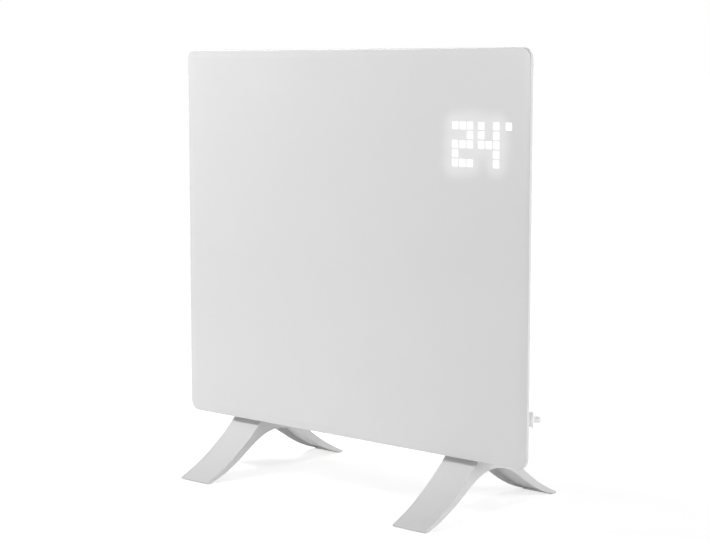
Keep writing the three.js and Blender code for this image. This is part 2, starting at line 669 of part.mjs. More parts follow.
/** The pressed tray behind the heater. */
function rearCasing() {
  const skin = casingForm(steelFront, panelBack, 0);
  const hollow = casingForm(steelFront - CUT, panelBack - SHEET, SHEET);

  const louvre = beam(louvreProfile(0), LOUVRE_LENGTH);
  const louvreHollow = beam(louvreProfile(SHEET), LOUVRE_LENGTH - 2 * SHEET);
  const pad = hangerForm(0, panelBack - SHEET);
  const padHollow = hangerForm(SHEET, panelBack - SHEET - CUT);
  const slotShape = roundedRectangle(HANGER_SLOT_LENGTH, HANGER_SLOT_WIDTH, HANGER_SLOT_WIDTH / 3);
  const padSlot = slab(slotShape, BODY_DEPTH - SHEET - CUT, BODY_DEPTH + CUT, SMALL_CORNER_STEPS);

  const nut = rod(FOOT_BOSS_RADIUS - 1, 0, SCREW_LENGTH / 2, SCREW_SIDES);
  const nuts = [-footX, footX].flatMap((x) =>
    footScrewYs.map((y) => placed(nut, [x, y - glassFrontY, rimBottom + SHEET / 2])),
  );
  const drill = rod(SCREW_HOLE_RADIUS, -SHEET - CUT, SCREW_LENGTH, SCREW_SIDES);
  const footHoles = [-footX, footX].flatMap((x) =>
    footScrewYs.map((y) => placed(drill, [x, y - glassFrontY, rimBottom])),
  );
  const backDrill = moved(rod(SCREW_HOLE_RADIUS, -CUT, SHEET + CUT, SCREW_SIDES), alongDepth);
  const backHoles = pillarPlaces().map(([x, z]) => placed(backDrill, [x, panelBack - SHEET, z]));
  const glandHole = moved(rod(GLAND_SHANK_RADIUS + FIT, -CUT - SHEET, CUT, ROUND_SIDES), glandPlace);
  const switchHole = moved(
    blockOf(SWITCH_LENGTH + 2 * FIT, SWITCH_WIDTH + 2 * FIT, 2 * (SHEET + CUT)),
    switchPlace,
  );

  const at = (made, places) => places.map(([x, z]) => made.translate([x, 0, z]));
  const shell = skin.subtract(hollow);
  const raised = join(shell, ...at(louvre, louvrePlaces()), ...at(pad, hangerPlaces()), ...nuts);
  return raised.subtract(
    join(
      ...at(louvreHollow, louvrePlaces()),
      ...at(padHollow, hangerPlaces()),
      ...at(padSlot, hangerPlaces()),
      ...footHoles,
      ...backHoles,
      glandHole,
      switchHole,
      airSlots(),
    ),
  );
}

// ---------------------------------------------------------------- heating element
const casingReach = rimHalfWidth - wallShift(elementDepth + FIN_DEPTH / 2, taper, SHEET);
const elementLeft = ELEMENT_END_GAP - casingReach;
const elementRight = boxLeft - ELEMENT_END_GAP;
const elementMiddle = (elementLeft + elementRight) / 2;
const coreLength = elementRight - elementLeft - 2 * ELEMENT_CAP_LENGTH;

/** The aluminium core and its stamped fins. */
function heatingElement() {
  const y = atDepth(elementDepth);
  const core = beam(
    roundedRectangle(ELEMENT_CORE_DEPTH, ELEMENT_CORE_HEIGHT, ELEMENT_CORE_DEPTH / 3, y, elementZ),
    coreLength,
    elementMiddle,
    1,
  );
  const finShape = roundedRectangle(FIN_DEPTH, FIN_HEIGHT, FIN_CORNER, y, elementZ);
  const room = coreLength - 2 * BRACKET_FOOT;
  const fins = spread(room, FIN_THICKNESS, FIN_PITCH - FIN_THICKNESS).map((x) =>
    beam(finShape, FIN_THICKNESS, elementMiddle + x, 1),
  );
  return join(core, ...fins);
}

/** A ceramic cap on one end of the element; side is -1 on the left and 1 on the right. */
function elementCap(side) {
  const start = coreLength / 2 + FIT;
  const profile = [
    [0, start],
    [ELEMENT_CAP_RADIUS, start],
    [ELEMENT_CAP_RADIUS, start + 0.7 * ELEMENT_CAP_LENGTH],
    [0.6 * ELEMENT_CAP_RADIUS, start + ELEMENT_CAP_LENGTH],
    [0, start + ELEMENT_CAP_LENGTH],
  ];
  const turn = new THREE.Matrix4().makeRotationY((side * Math.PI) / 2);
  return placed(moved(turned(profile, SMALL_SIDES), turn), [elementMiddle, elementDepth, elementZ]);
}

/** The steel angle that holds one end of the element on the carrier. */
function elementBracket(side) {
  const x = side * (coreLength / 2 + ELEMENT_CAP_LENGTH / 3);
  const front = carrierBack + FIT;
  const back = elementDepth + 2 * ELEMENT_CAP_RADIUS;
  const angle = bentSheet(
    [
      [x + side * BRACKET_FOOT, atDepth(front)],
      [x, atDepth(front)],
      [x, atDepth(back)],
    ],
    side * -BRACKET_SHEET,
  );
  const upright = prism(angle, elementZ - BRACKET_HEIGHT / 2, elementZ + BRACKET_HEIGHT / 2);
  const hole = moved(rod(ELEMENT_CAP_RADIUS + FIT, -BRACKET_FOOT, BRACKET_FOOT), alongX);
  const angled = upright.subtract(placed(hole, [x, elementDepth, elementZ]));
  return moved(angled, new THREE.Matrix4().makeTranslation(elementMiddle, 0, 0));
}

const shieldLeft = elementMiddle - coreLength / 2 + BRACKET_SHEET;
const shieldRight = elementMiddle + coreLength / 2 - BRACKET_SHEET;

/** The aluminium sheet in front of the element, with bent lips and pressed stand-offs. */
function heatShield() {
  const top = shieldBottom + SHIELD_HEIGHT;
  const lip = SHIELD_LIP * Math.SQRT1_2;
  const section = bentSheet(
    [
      [atDepth(shieldFront) + lip, shieldBottom - lip],
      [atDepth(shieldFront), shieldBottom],
      [atDepth(shieldFront), top],
      [atDepth(shieldFront) + lip, top + lip],
    ],
    -SHIELD_SHEET,
  );
  const width = shieldRight - shieldLeft;
  const sheet = beam(section, width, elementMiddle);
  const height = SHIELD_STANDOFF - FIT + SHIELD_SHEET / 2;
  const dimple = moved(rod(PILLAR_RADIUS, 0, height, SCREW_SIDES), alongDepth);
  const places = [-1, 0, 1].flatMap((i) =>
    [shieldBottom + SHIELD_HEIGHT / 6, top - SHIELD_HEIGHT / 6].map((z) => [
      elementMiddle + (i * width) / 2.4,
      carrierBack + FIT,
      z,
    ]),
  );
  return join(sheet, ...places.map((place) => placed(dimple, place)));
}

const cutoutZ = elementZ + FIN_HEIGHT / 2 + 2 * CUTOUT_RADIUS;
const cutoutPlace = [shieldRight - 4 * CUTOUT_RADIUS, shieldBack + FIT, cutoutZ];

/** The round overheating cut-out on the shield. */
function thermalCutout() {
  const profile = [
    [0, 0],
    [CUTOUT_RADIUS, 0],
    [CUTOUT_RADIUS, 0.6 * CUTOUT_HEIGHT],
    [0.75 * CUTOUT_RADIUS, 0.6 * CUTOUT_HEIGHT],
    [0.75 * CUTOUT_RADIUS, CUTOUT_HEIGHT],
    [0, CUTOUT_HEIGHT],
  ];
  return placed(moved(turned(profile), alongDepth), cutoutPlace);
}

/** The strap that holds the cut-out down. */
function cutoutClip() {
  const [x, depth, z] = cutoutPlace;
  const reach = CUTOUT_RADIUS + CLIP_GAP;
  const foot = reach + CLIP_FOOT;
  const high = CUTOUT_HEIGHT + FIT;
  const run = [
    [-foot, 0],
    [-reach, 0],
    [-reach, high],
    [reach, high],
    [reach, 0],
    [foot, 0],
  ].map(([across, up]) => [x + across, atDepth(depth) + up]);
  return prism(bentSheet(run, SHIELD_SHEET), z - CLIP_WIDTH / 2, z + CLIP_WIDTH / 2);
}

// ---------------------------------------------------------------- control box
const boxMiddle = (boxLeft + boxRight) / 2;
const entryDepth = boxBack - ENTRY_INSET;
const sideEntryZ = elementZ + FIN_HEIGHT;
const switchZ = FLOOR_CLEARANCE + SWITCH_RISE;

/** The moulded box that holds the power board: open to the back, with cable entries. */
function controlBox() {
  const shape = (inset) =>
    roundedRectangle(
      BOX_WIDTH - 2 * inset,
      BOX_HEIGHT - 2 * inset,
      BOX_CORNER - inset / 2,
      boxMiddle,
      (boxBottom + boxTop) / 2,
    );
  const shell = slab(shape(0), boxFront, boxBack, SMALL_CORNER_STEPS).subtract(
    slab(shape(BOX_WALL), boxFront + BOX_WALL, boxBack + CUT, SMALL_CORNER_STEPS),
  );
  const post = moved(rod(POST_RADIUS, -BOX_WALL / 2, BOARD_STANDOFF - FIT, SCREW_SIDES), alongDepth);
  const posts = boardCorners().map(([x, z]) => placed(post, [x, boxFront + BOX_WALL, z]));
  const entry = rod(MAINS_LEAD_RADIUS + ENTRY_CLEARANCE, -CUT, BOX_WALL + CUT, SCREW_SIDES);
  const bottomEntry = placed(entry, [boxMiddle, entryDepth, boxBottom]);
  const topEntry = placed(entry, [boxMiddle, entryDepth, boxTop - BOX_WALL]);
  const sideEntry = placed(moved(entry, alongX), [boxLeft, entryDepth, sideEntryZ]);
  const switchEntry = placed(moved(entry, alongX), [boxRight - BOX_WALL, entryDepth, switchZ]);
  return join(shell, ...posts).subtract(join(bottomEntry, topEntry, sideEntry, switchEntry));
}

/** The corners of the power board that stand on posts, as [x, z]. */
function boardCorners() {
  const inset = BOX_WALL + POST_INSET;
  const heights = [boxBottom + inset, boxTop - inset];
  return [boxLeft + inset, boxRight - inset].flatMap((x) => heights.map((z) => [x, z]));
}

const boardFront = boxFront + BOX_WALL + BOARD_STANDOFF;
const boardBack = boardFront + BOARD_THICKNESS;
const onBoard = boardBack + FIT;

/** The power board. */
function controlBoard() {
  const inset = BOX_WALL + BOARD_GAP;
  const low = [boxLeft + inset, boardFront, boxBottom + inset];
  return block(low, [boxRight - inset, boardBack, boxTop - inset]);
}

/** A box-shaped component with softened edges, on the power board. */
function boardBlock([width, depth, height], x, z) {
  const shape = roundedRectangle(width, height, COMPONENT_CORNER, x, z);
  return slab(shape, onBoard, onBoard + depth, SMALL_CORNER_STEPS);
}

/** The transformer: a laminated core round a coil former. */
function transformer(x, z) {
  const [width, depth, height] = TRANSFORMER_SIZE;
  const core = boardBlock([width, 0.55 * depth, height], x, z);
  const coil = boardBlock([0.62 * width, depth, 0.8 * height], x, z);
  return join(core, coil);
}

/** The terminal block with its clamp openings. */
function terminalBlock(x, z) {
  const width = TERMINAL_WAYS * TERMINAL_PITCH;
  const body = boardBlock([width, TERMINAL_DEPTH, TERMINAL_HEIGHT], x, z);
  const wayPlaces = spread(width, TERMINAL_PITCH - 1, 1);
  const screwHole = moved(rod(TERMINAL_SCREW_RADIUS, 0, TERMINAL_DEPTH, SCREW_SIDES), alongDepth);
  const half = TERMINAL_MOUTH / 2;
  const mouth = onBoard + TERMINAL_FLOOR;
  const holes = wayPlaces.flatMap((way) => [
    placed(screwHole, [x + way, onBoard + 0.6 * TERMINAL_DEPTH, z]),
    block(
      [x + way - half, mouth, z - TERMINAL_HEIGHT],
      [x + way + half, mouth + TERMINAL_MOUTH, z - TERMINAL_HEIGHT / 4],
    ),
  ]);
  return body.subtract(join(...holes));
}

/** The lid of the control box, with a locating rim. */
function controlBoxLid() {
  const outline = (inset, corner) =>
    roundedRectangle(
      BOX_WIDTH - 2 * inset,
      BOX_HEIGHT - 2 * inset,
      corner,
      boxMiddle,
      (boxBottom + boxTop) / 2,
    );
  const plate = outline(0, BOX_CORNER);
  const rim = outline(BOX_WALL + FIT, BOX_CORNER / 2);
  const rimHollow = outline(BOX_WALL + FIT + LID_RIM_WALL, BOX_CORNER / 3);
  const from = boxBack + FIT;
  const rimFront = from - LID_RIM;
  const locating = slab(rim, rimFront, from + LID_THICKNESS / 2, SMALL_CORNER_STEPS).subtract(
    slab(rimHollow, rimFront - CUT, from, SMALL_CORNER_STEPS),
  );
  return join(slab(plate, from, from + LID_THICKNESS, SMALL_CORNER_STEPS), locating);
}

// ---------------------------------------------------------------- tip-over switch
const tiltRight = boxLeft - TILT_SHIFT;
const tiltLeft = tiltRight - TILT_WIDTH;
const tiltTop = glassTopZ - TILT_DROP;
const tiltFront = carrierBack + FIT;
const tiltBack = tiltFront + TILT_DEPTH;
const pendulumPivot = [
  (tiltLeft + tiltRight) / 2,
  (tiltFront + tiltBack) / 2,
  tiltTop - TILT_WALL - PENDULUM_HUB - PENDULUM_HEADROOM,
];
const tiltInner = TILT_WIDTH - 2 * TILT_WALL - FIT;

/** The housing, open on its right side. */
function tiltSwitchHousing() {
  const low = tiltTop - TILT_HEIGHT;
  const outer = block([tiltLeft, tiltFront, low], [tiltRight - TILT_WALL - FIT, tiltBack, tiltTop]);
  const inner = block(
    [tiltLeft + TILT_WALL, tiltFront + TILT_WALL, low + TILT_WALL],
    [tiltRight + CUT, tiltBack - TILT_WALL, tiltTop - TILT_WALL],
  );
  return outer.subtract(inner);
}

/** The cover that closes the housing. */
function tiltSwitchCover() {
  return block([tiltRight - TILT_WALL, tiltFront, tiltTop - TILT_HEIGHT], [tiltRight, tiltBack, tiltTop]);
}

/** The pin that the pendulum hangs on. */
function tiltPin() {
  const half = tiltInner / 2 - FIT / 2;
  return placed(moved(rod(PIVOT_RADIUS, -half, half), alongX), pendulumPivot);
}

/** The pendulum: hub, rod and weight, about its own pivot. */
function tiltPendulum() {
  const width = tiltInner - 4 * FIT;
  const hub = moved(rod(PENDULUM_HUB, -width / 4, width / 4), alongX);
  const bar = blockOf(width / 3, PENDULUM_ROD, PENDULUM_LENGTH);
  const arm = moved(bar, new THREE.Matrix4().makeTranslation(0, 0, -PENDULUM_LENGTH / 2));
  const weight = moved(
    moved(rod(PENDULUM_RADIUS, -width / 2, width / 2, ROUND_SIDES), alongX),
    new THREE.Matrix4().makeTranslation(0, 0, -PENDULUM_LENGTH),
  );
  const bore = moved(rod(PIVOT_RADIUS + PIVOT_CLEARANCE, -width, width), alongX);
  return join(hub, arm, weight).subtract(bore);
}

// ---------------------------------------------------------------- air sensor
const sensorDepth = carrierBack + 2 * SENSOR_RADIUS + FIT;
const sensorPlace = [boxLeft - SENSOR_SHIFT, sensorDepth, FLOOR_CLEARANCE + SENSOR_RISE];

/** The bead of the air sensor, along X. */
function roomSensor() {
  const half = SENSOR_LENGTH / 2;
  const profile = [
    [0, -half],
    [SENSOR_RADIUS, -half],
    [SENSOR_RADIUS, half - SENSOR_RADIUS],
    [0.7 * SENSOR_RADIUS, half - 0.3 * SENSOR_RADIUS],
    [0, half],
  ];
  return placed(moved(turned(profile, SMALL_SIDES), alongX), sensorPlace);
}

/** The clip that holds the sensor off the carrier. */
function sensorClip() {
  const [x, depth, z] = sensorPlace;
  const outer = SENSOR_RADIUS + FIT + SENSOR_CLIP_WALL;
  const half = SENSOR_LENGTH / 6;
  const body = block([x - half, carrierBack + FIT, z - outer], [x + half, depth + outer, z + outer]);
  const bore = moved(rod(SENSOR_RADIUS + FIT, -SENSOR_LENGTH, SENSOR_LENGTH), alongX);
  const slit = SENSOR_RADIUS / 2;
  const mouth = block([x - 2 * half, depth, z - slit], [x + 2 * half, depth + 2 * outer, z + slit]);
  return body.subtract(join(placed(bore, sensorPlace), mouth));
}

// ---------------------------------------------------------------- cord gland
/** The moulded gland about its own axis: local Z points out of the wall. */
function cordGland() {
  const r = GLAND_SLEEVE_RADIUS;
  const tip = GLAND_STANDOFF + GLAND_SLEEVE_LENGTH;
  const nose = [15, 40, 65].map((degrees) => {
    const angle = THREE.MathUtils.degToRad(degrees);
    return [r * Math.cos(angle), tip - r + r * Math.sin(angle)];
  });
  const body = turned(
    [
      [0, -SHEET - GLAND_SHANK_LENGTH],
      [GLAND_SHANK_RADIUS, -SHEET - GLAND_SHANK_LENGTH],
      [GLAND_SHANK_RADIUS, FIT],
      [GLAND_DISC_RADIUS - GLAND_NECK, FIT],
      [GLAND_DISC_RADIUS - GLAND_NECK, GLAND_STANDOFF / 2],
      [GLAND_DISC_RADIUS, GLAND_STANDOFF / 2 + GLAND_EDGE_ROUND / 2],
      [GLAND_DISC_RADIUS, GLAND_STANDOFF - GLAND_EDGE_ROUND],
      [GLAND_DISC_RADIUS - GLAND_EDGE_ROUND, GLAND_STANDOFF],
      [r + GLAND_EDGE_ROUND, GLAND_STANDOFF],
      [r, GLAND_STANDOFF + GLAND_EDGE_ROUND],
      [r, tip - r],
      ...nose,
      [GLAND_BORE_RADIUS / 2, tip],
      [0, tip],
    ],
    ROUND_SIDES + 4,
  );
  const bore = rod(GLAND_BORE_RADIUS, GLAND_STANDOFF / 2, tip + CUT);
  return body.subtract(bore);
}

/** The lock nut inside the wall, on the gland's shank. */
function glandNut() {
  const from = -SHEET - FIT - GLAND_NUT_THICKNESS;
  const hex = rod(GLAND_NUT_RADIUS, from, from + GLAND_NUT_THICKNESS, 6);
  return hex.subtract(rod(GLAND_SHANK_RADIUS + FIT, from - CUT, CUT, ROUND_SIDES));
}

// ---------------------------------------------------------------- mains rocker switch
const rockerSwing = ROCKER_SKIRT * Math.sin(THREE.MathUtils.degToRad(ROCKER_TILT_DEG));
const rockerHalf = SWITCH_LENGTH / 2 - SWITCH_WALL - ROCKER_GAP - rockerSwing;
const rockerWidth = SWITCH_WIDTH - 2 * (SWITCH_WALL + ROCKER_GAP);
const axleHalf = SWITCH_WIDTH / 2 - SWITCH_WALL / 3;

/** The outline of the switch's body, moved in by a wall. */
function switchOutline(inset) {
  const half = [SWITCH_LENGTH / 2 - inset, SWITCH_WIDTH / 2 - inset];
  return polygon([
    [-half[0], -half[1]],
    [half[0], -half[1]],
    [half[0], half[1]],
    [-half[0], half[1]],
  ]);
}

/** The switch's frame about the middle of its cut-out: local Z points out of the wall. */
function switchFrame() {
  const flange = blockOf(
    SWITCH_LENGTH + 2 * (SWITCH_FLANGE + FIT),
    SWITCH_WIDTH + 2 * (SWITCH_FLANGE + FIT),
    SWITCH_FLANGE_THICKNESS,
  ).translate([0, 0, FIT + SWITCH_FLANGE_THICKNESS / 2]);
  const floor = FIT - SWITCH_BODY;
  const body = prism(switchOutline(0), floor, FIT + SWITCH_FLANGE_THICKNESS / 2);
  const cavity = prism(switchOutline(SWITCH_WALL), floor + SWITCH_WALL, CUT + SWITCH_FLANGE_THICKNESS);
  const axleHole = moved(
    rod(PIVOT_RADIUS + PIVOT_CLEARANCE, -axleHalf - PIVOT_CLEARANCE, axleHalf + PIVOT_CLEARANCE),
    alongDepth,
  ).translate([0, 0, -ROCKER_PIVOT_DROP]);
  return join(flange, body).subtract(join(cavity, axleHole));
}

/** The rocker about its pivot, pressed to ON. */
function switchRocker() {
  const tilt = THREE.MathUtils.degToRad(ROCKER_TILT_DEG);
  const crown = ROCKER_PIVOT_DROP + ROCKER_CROWN;
  const lift = rockerHalf * Math.tan(tilt);
  const skirt = crown - ROCKER_SKIRT;
  const bilge = -0.4 * ROCKER_KEEL;
  const outline = polygon([
    [-rockerHalf, skirt],
    [-rockerHalf / 2, bilge],
    [-ROCKER_KEEL_HALF, -ROCKER_KEEL],
    [ROCKER_KEEL_HALF, -ROCKER_KEEL],
    [rockerHalf / 2, bilge],
    [rockerHalf, skirt],
    [rockerHalf, crown + lift],
    [0, crown],
    [-rockerHalf, crown + lift],
  ]);
  const stand = new THREE.Matrix4().makeRotationX(Math.PI / 2);
  const body = moved(prism(outline, -rockerWidth / 2, rockerWidth / 2), stand);
  const axle = moved(rod(PIVOT_RADIUS, -axleHalf, axleHalf), alongDepth);
  return moved(join(body, axle), new THREE.Matrix4().makeRotationY(tilt));
}

// ---------------------------------------------------------------- inner wiring
/** A lead of round section through points given as [x, depth, z]. */
function lead(points, radius) {
  const route = points.map(([x, depth, z]) => new THREE.Vector3(x, atDepth(depth), z));
  const section = new THREE.Shape();
  section.absarc(0, 0, radius, 0, 2 * Math.PI);
  return solid(
    new THREE.ExtrudeGeometry(section, {
      extrudePath: new THREE.CatmullRomCurve3(route),
      steps: LEAD_STEPS,
      curveSegments: LEAD_SIDES / 2,
      bevelEnabled: false,
    }),
  );
}

/** A point in a wall's frame as [x, depth, z]. */
function fromWall(place, x, y, z) {
  const point = new THREE.Vector3(x, y, z).applyMatrix4(place);
  return [point.x, point.y - glassFrontY, point.z];
}

/** From the gland's shank into the bottom of the control box, to the terminal block. */
function mainsLead() {
  const start = -SHEET - GLAND_SHANK_LENGTH - FIT;
  return lead(
    [
      fromWall(glandPlace, 0, 0, start),
      fromWall(glandPlace, 0, 0, start - 1.5 * LEAD_BEND),
      [boxMiddle + 2 * LEAD_BEND, entryDepth, boxBottom - 4 * LEAD_BEND],
      [boxMiddle, entryDepth, boxBottom - 1.5 * LEAD_BEND],
      [boxMiddle, entryDepth, boxBottom + LEAD_INTO_BOX],
    ],
    MAINS_LEAD_RADIUS,
  );
}

/** From the control box to the element's right end. */
function elementLead() {
  const capEnd = elementMiddle + coreLength / 2 + FIT + ELEMENT_CAP_LENGTH + FIT;
  return lead(
    [
      [capEnd, elementDepth, elementZ],
      [capEnd + LEAD_BEND / 2, elementDepth, elementZ],
      [capEnd + LEAD_BEND, elementDepth, elementZ + 2 * LEAD_BEND],
      [boxLeft - 1.3 * LEAD_BEND, entryDepth, sideEntryZ - 1.3 * LEAD_BEND],
      [boxLeft - 0.7 * LEAD_BEND, entryDepth, sideEntryZ],
      [boxLeft + LEAD_INTO_BOX, entryDepth, sideEntryZ],
    ],
    LEAD_RADIUS,
  );
}

/** From the top of the control box to the display board. */
function displayLead() {
  const end = gridBack + 2 * FIT + BOARD_THICKNESS;
  const x = displayLeft + 3 * CELL_PITCH;
  return lead(
    [
      [boxMiddle, entryDepth, boxTop - LEAD_INTO_BOX],
      [boxMiddle, entryDepth, boxTop + 2 * LEAD_BEND],
      [(boxMiddle + x) / 2, entryDepth, (boxTop + displayLow) / 2],
      [x, end + 2 * LEAD_BEND, displayLow + LEAD_BEND],
      [x, end + LEAD_BEND, displayLow + 2 * CELL_PITCH],
      [x, end, displayLow + 2 * CELL_PITCH],
    ],
    LEAD_RADIUS,
  );
}

/** From the mains switch to the control box. */
function switchLead() {
  const start = -SWITCH_BODY;
  return lead(
    [
      fromWall(switchPlace, 0, 0, start),
      fromWall(switchPlace, 0, 0, start - LEAD_BEND / 2),
      [boxRight + LEAD_BEND / 2, entryDepth, switchZ],
      [boxRight - LEAD_INTO_BOX, entryDepth, switchZ],
    ],
    LEAD_RADIUS,
  );
}

// ---------------------------------------------------------------- feet
const footHalf = FOOT_LENGTH / 2;
const footSeatEnd = -glassFrontY - GLASS_THICKNESS - FOOT_SEAT_INSET;

/** Points down the sweep of a foot's top, from its seat to the tip, moved in by a wall. */
function footSweep(wall) {
  const start = new THREE.Vector2(footSeatEnd, footTop);
  const end = new THREE.Vector2(footHalf - 1, FOOT_TIP_THICKNESS);
  const bend = new THREE.Vector2(
    THREE.MathUtils.lerp(start.x, end.x, FOOT_SWEEP_PULL[0]),
    THREE.MathUtils.lerp(start.y, end.y, FOOT_SWEEP_PULL[1]),
  );
  const curve = new THREE.QuadraticBezierCurve(start, bend, end);
  return Array.from({ length: FOOT_STEPS + 1 }, (_, i) => {
    const point = curve.getPoint(i / FOOT_STEPS);
    const run = curve.getTangent(i / FOOT_STEPS);
    return [point.x + run.y * wall, point.y - run.x * wall];
  });
}

/** The height of the sweep, moved in by a wall, at a distance from the middle of the foot. */
function sweepHeight(wall, y) {
  const points = footSweep(wall);
  const next = points.findIndex((point) => point[0] >= y);
  const [before, after] = [points.at(next - 1), points.at(next)];
  return THREE.MathUtils.lerp(before[1], after[1], (y - before[0]) / (after[0] - before[0]));
}

/** Points along the arch under a foot, from the tip to the crown. */
function footArch() {
  const crown = footTop - FOOT_CROWN;
  const low = FOOT_LIFT;
  const start = footHalf - FOOT_LAND;
  const [reach, height] = FOOT_ARCH_PULL;
  const curve = new THREE.CubicBezierCurve(
    new THREE.Vector2(start, low),
    new THREE.Vector2(reach * start, THREE.MathUtils.lerp(low, crown, height)),
    new THREE.Vector2(FOOT_ARCH_CROWN_PULL * start, crown),
    new THREE.Vector2(0, crown),
  );
  return curve.getPoints(FOOT_STEPS).map((point) => [point.x, point.y]);
}

/** A half outline, listed from the middle of the top to the middle of the underside, made whole. */
function mirrored(half) {
  const inner = half.filter(([y]) => y > 1e-6);
  const far = inner.map(([y, z]) => [-y, z]).reverse();
  return polygon([...half, ...far].reverse());
}

/** A foot about the floor under its own middle: a moulded shell, open from below. */
function foot() {
  const tip = [
    [footHalf, FOOT_TIP_THICKNESS - 1],
    [footHalf, FOOT_LIFT],
  ];
  const outer = beam(mirrored([[0, footTop], ...footSweep(0), ...tip, ...footArch()]), FOOT_WIDTH);
  const plan = prism(roundedRectangle(FOOT_WIDTH, FOOT_LENGTH, FOOT_TIP_CORNER), -CUT, footTop + CUT);

  const roof = footTop - FOOT_WALL;
  const tipY = footHalf - FOOT_WALL;
  const [above, below] = footSweep(FOOT_WALL);
  const roofEnd = THREE.MathUtils.mapLinear(roof, above[1], below[1], above[0], below[0]);
  const hollowLine = [
    [0, roof],
    [roofEnd, roof],
    ...footSweep(FOOT_WALL).filter(([y, z]) => y < tipY && z < roof),
    [tipY, sweepHeight(FOOT_WALL, tipY)],
    [tipY, -CUT],
    [0, -CUT],
  ];
  const hollow = beam(mirrored(hollowLine), FOOT_WIDTH - 2 * FOOT_WALL);

  const boss = rod(FOOT_BOSS_RADIUS, footTop - FOOT_BOSS_HEIGHT, footTop - FOOT_WALL / 2);
  const ribWidth = FOOT_WIDTH - FOOT_WALL;
  const ribHeight = FOOT_BOSS_HEIGHT - FOOT_WALL / 2;
  const ribZ = footTop - FOOT_WALL / 2 - ribHeight / 2;
  const rib = blockOf(ribWidth, FOOT_RIB, ribHeight).translate([0, 0, ribZ]);
  const fittings = footScrewYs.flatMap((y) => [boss.translate([0, y, 0]), rib.translate([0, y, 0])]);
  const bore = rod(SCREW_HOLE_RADIUS, 0, footTop + CUT);
  const bores = footScrewYs.map((y) => bore.translate([0, y, 0]));
  return join(outer.intersect(plan).subtract(hollow), ...fittings).subtract(join(...bores));
}

/** A rubber pad in the tip of a foot; end is -1 at the front and 1 at the back. */
function footPad(end) {
  const outerY = footHalf - FOOT_WALL - FIT;
  const innerY = outerY - PAD_LENGTH;
  const heightAt = (y) => Math.max(FOOT_LIFT / 2, sweepHeight(FOOT_WALL + FIT, y));
  const outline = [
    [end * innerY, 0],
    [end * outerY, 0],
    [end * outerY, heightAt(outerY)],
    [end * innerY, heightAt(innerY)],
  ];
  const shape = polygon(end > 0 ? outline : outline.reverse());
  return beam(shape, FOOT_WIDTH - 2 * (FOOT_WALL + FIT));
}

// ---------------------------------------------------------------- screws
/** A pan-head screw about the face it bears on: the head above, the shank below along -Z. */
function screw(length) {
  const r = SCREW_HEAD_RADIUS;
  const h = SCREW_HEAD_HEIGHT;
  return turned(
    [
      [0, -length],
      [SCREW_RADIUS, 1.5 - length],
      [SCREW_RADIUS, FIT],
      [r, FIT],
      [r, 0.55 * h],
      [0.7 * r, h],
      [0, h],
    ],
    SCREW_SIDES,
  );
}

// ---------------------------------------------------------------- assembly
/** A plain material for one kind of piece. */
function finish(color, roughness, metalness = 0) {
  return new THREE.MeshStandardMaterial({ color, roughness, metalness });
}

const FINISH = {
  glass: () => finish(0xe9e9e8, 0.08),
  whiteSteel: () => finish(0xe4e4e2, 0.45),
  zinc: () => finish(0xb8bab8, 0.4, 0.9),
  aluminium: () => finish(0xc4c6c8, 0.35, 0.9),
  whitePlastic: () => finish(0xe6e6e4, 0.4),
  blackPlastic: () => finish(0x1c1c1e, 0.5),
  foam: () => finish(0x2a2a2a, 0.9),
  ceramic: () => finish(0xe8e2d4, 0.6),
  board: () => finish(0x1f5a38, 0.5),
  film: () => finish(0xf6f6f4, 0.6),
  copper: () => finish(0xb5763a, 0.4, 0.8),
  rubber: () => finish(0xcfcfcd, 0.8),
  wire: () => finish(0xd8d8d4, 0.6),
};

/** A named mesh in a group. */
function piece(group, name, made, material) {
  const mesh = new THREE.Mesh(geometryOf(made), material);
  mesh.name = name;
  group.add(mesh);
  return mesh;
}

const heater = new THREE.Group();

const front = new THREE.Group();
piece(front, "glass_panel", glassPanel(), FINISH.glass());
piece(front, "glass_tape", glassTape(), FINISH.foam());
piece(front, "front_carrier", frontCarrier(), FINISH.zinc());
const film = displayPlate(0, filmFront, filmFront + FILM_THICKNESS);
piece(front, "display_diffuser", film, FINISH.film());
piece(front, "display_light_grid", displayLightGrid(), FINISH.whitePlastic());
const displayBoard = displayPlate(DISPLAY_FLANGE, gridBack + FIT, gridBack + FIT + BOARD_THICKNESS);
piece(front, "display_board", displayBoard, FINISH.board());
heater.add(front);

const back = new THREE.Group();
piece(back, "rear_casing", rearCasing(), FINISH.whiteSteel());
pillarPlaces().forEach(([x, z], i) => {
  const mesh = piece(back, `back_screw_${i + 1}`, screw(SCREW_LENGTH), FINISH.zinc());
  mesh.rotation.x = -Math.PI / 2;
  mesh.position.set(x, atDepth(panelBack), z);
});
heater.add(back);

const heat = new THREE.Group();
piece(heat, "heating_element", heatingElement(), FINISH.aluminium());
piece(heat, "heat_shield", heatShield(), FINISH.aluminium());
for (const [side, word] of [
  [-1, "left"],
  [1, "right"],
]) {
  piece(heat, `element_cap_${word}`, elementCap(side), FINISH.ceramic());
  piece(heat, `element_bracket_${word}`, elementBracket(side), FINISH.zinc());
}
piece(heat, "thermal_cutout", thermalCutout(), FINISH.blackPlastic());
piece(heat, "cutout_clip", cutoutClip(), FINISH.zinc());
heater.add(heat);

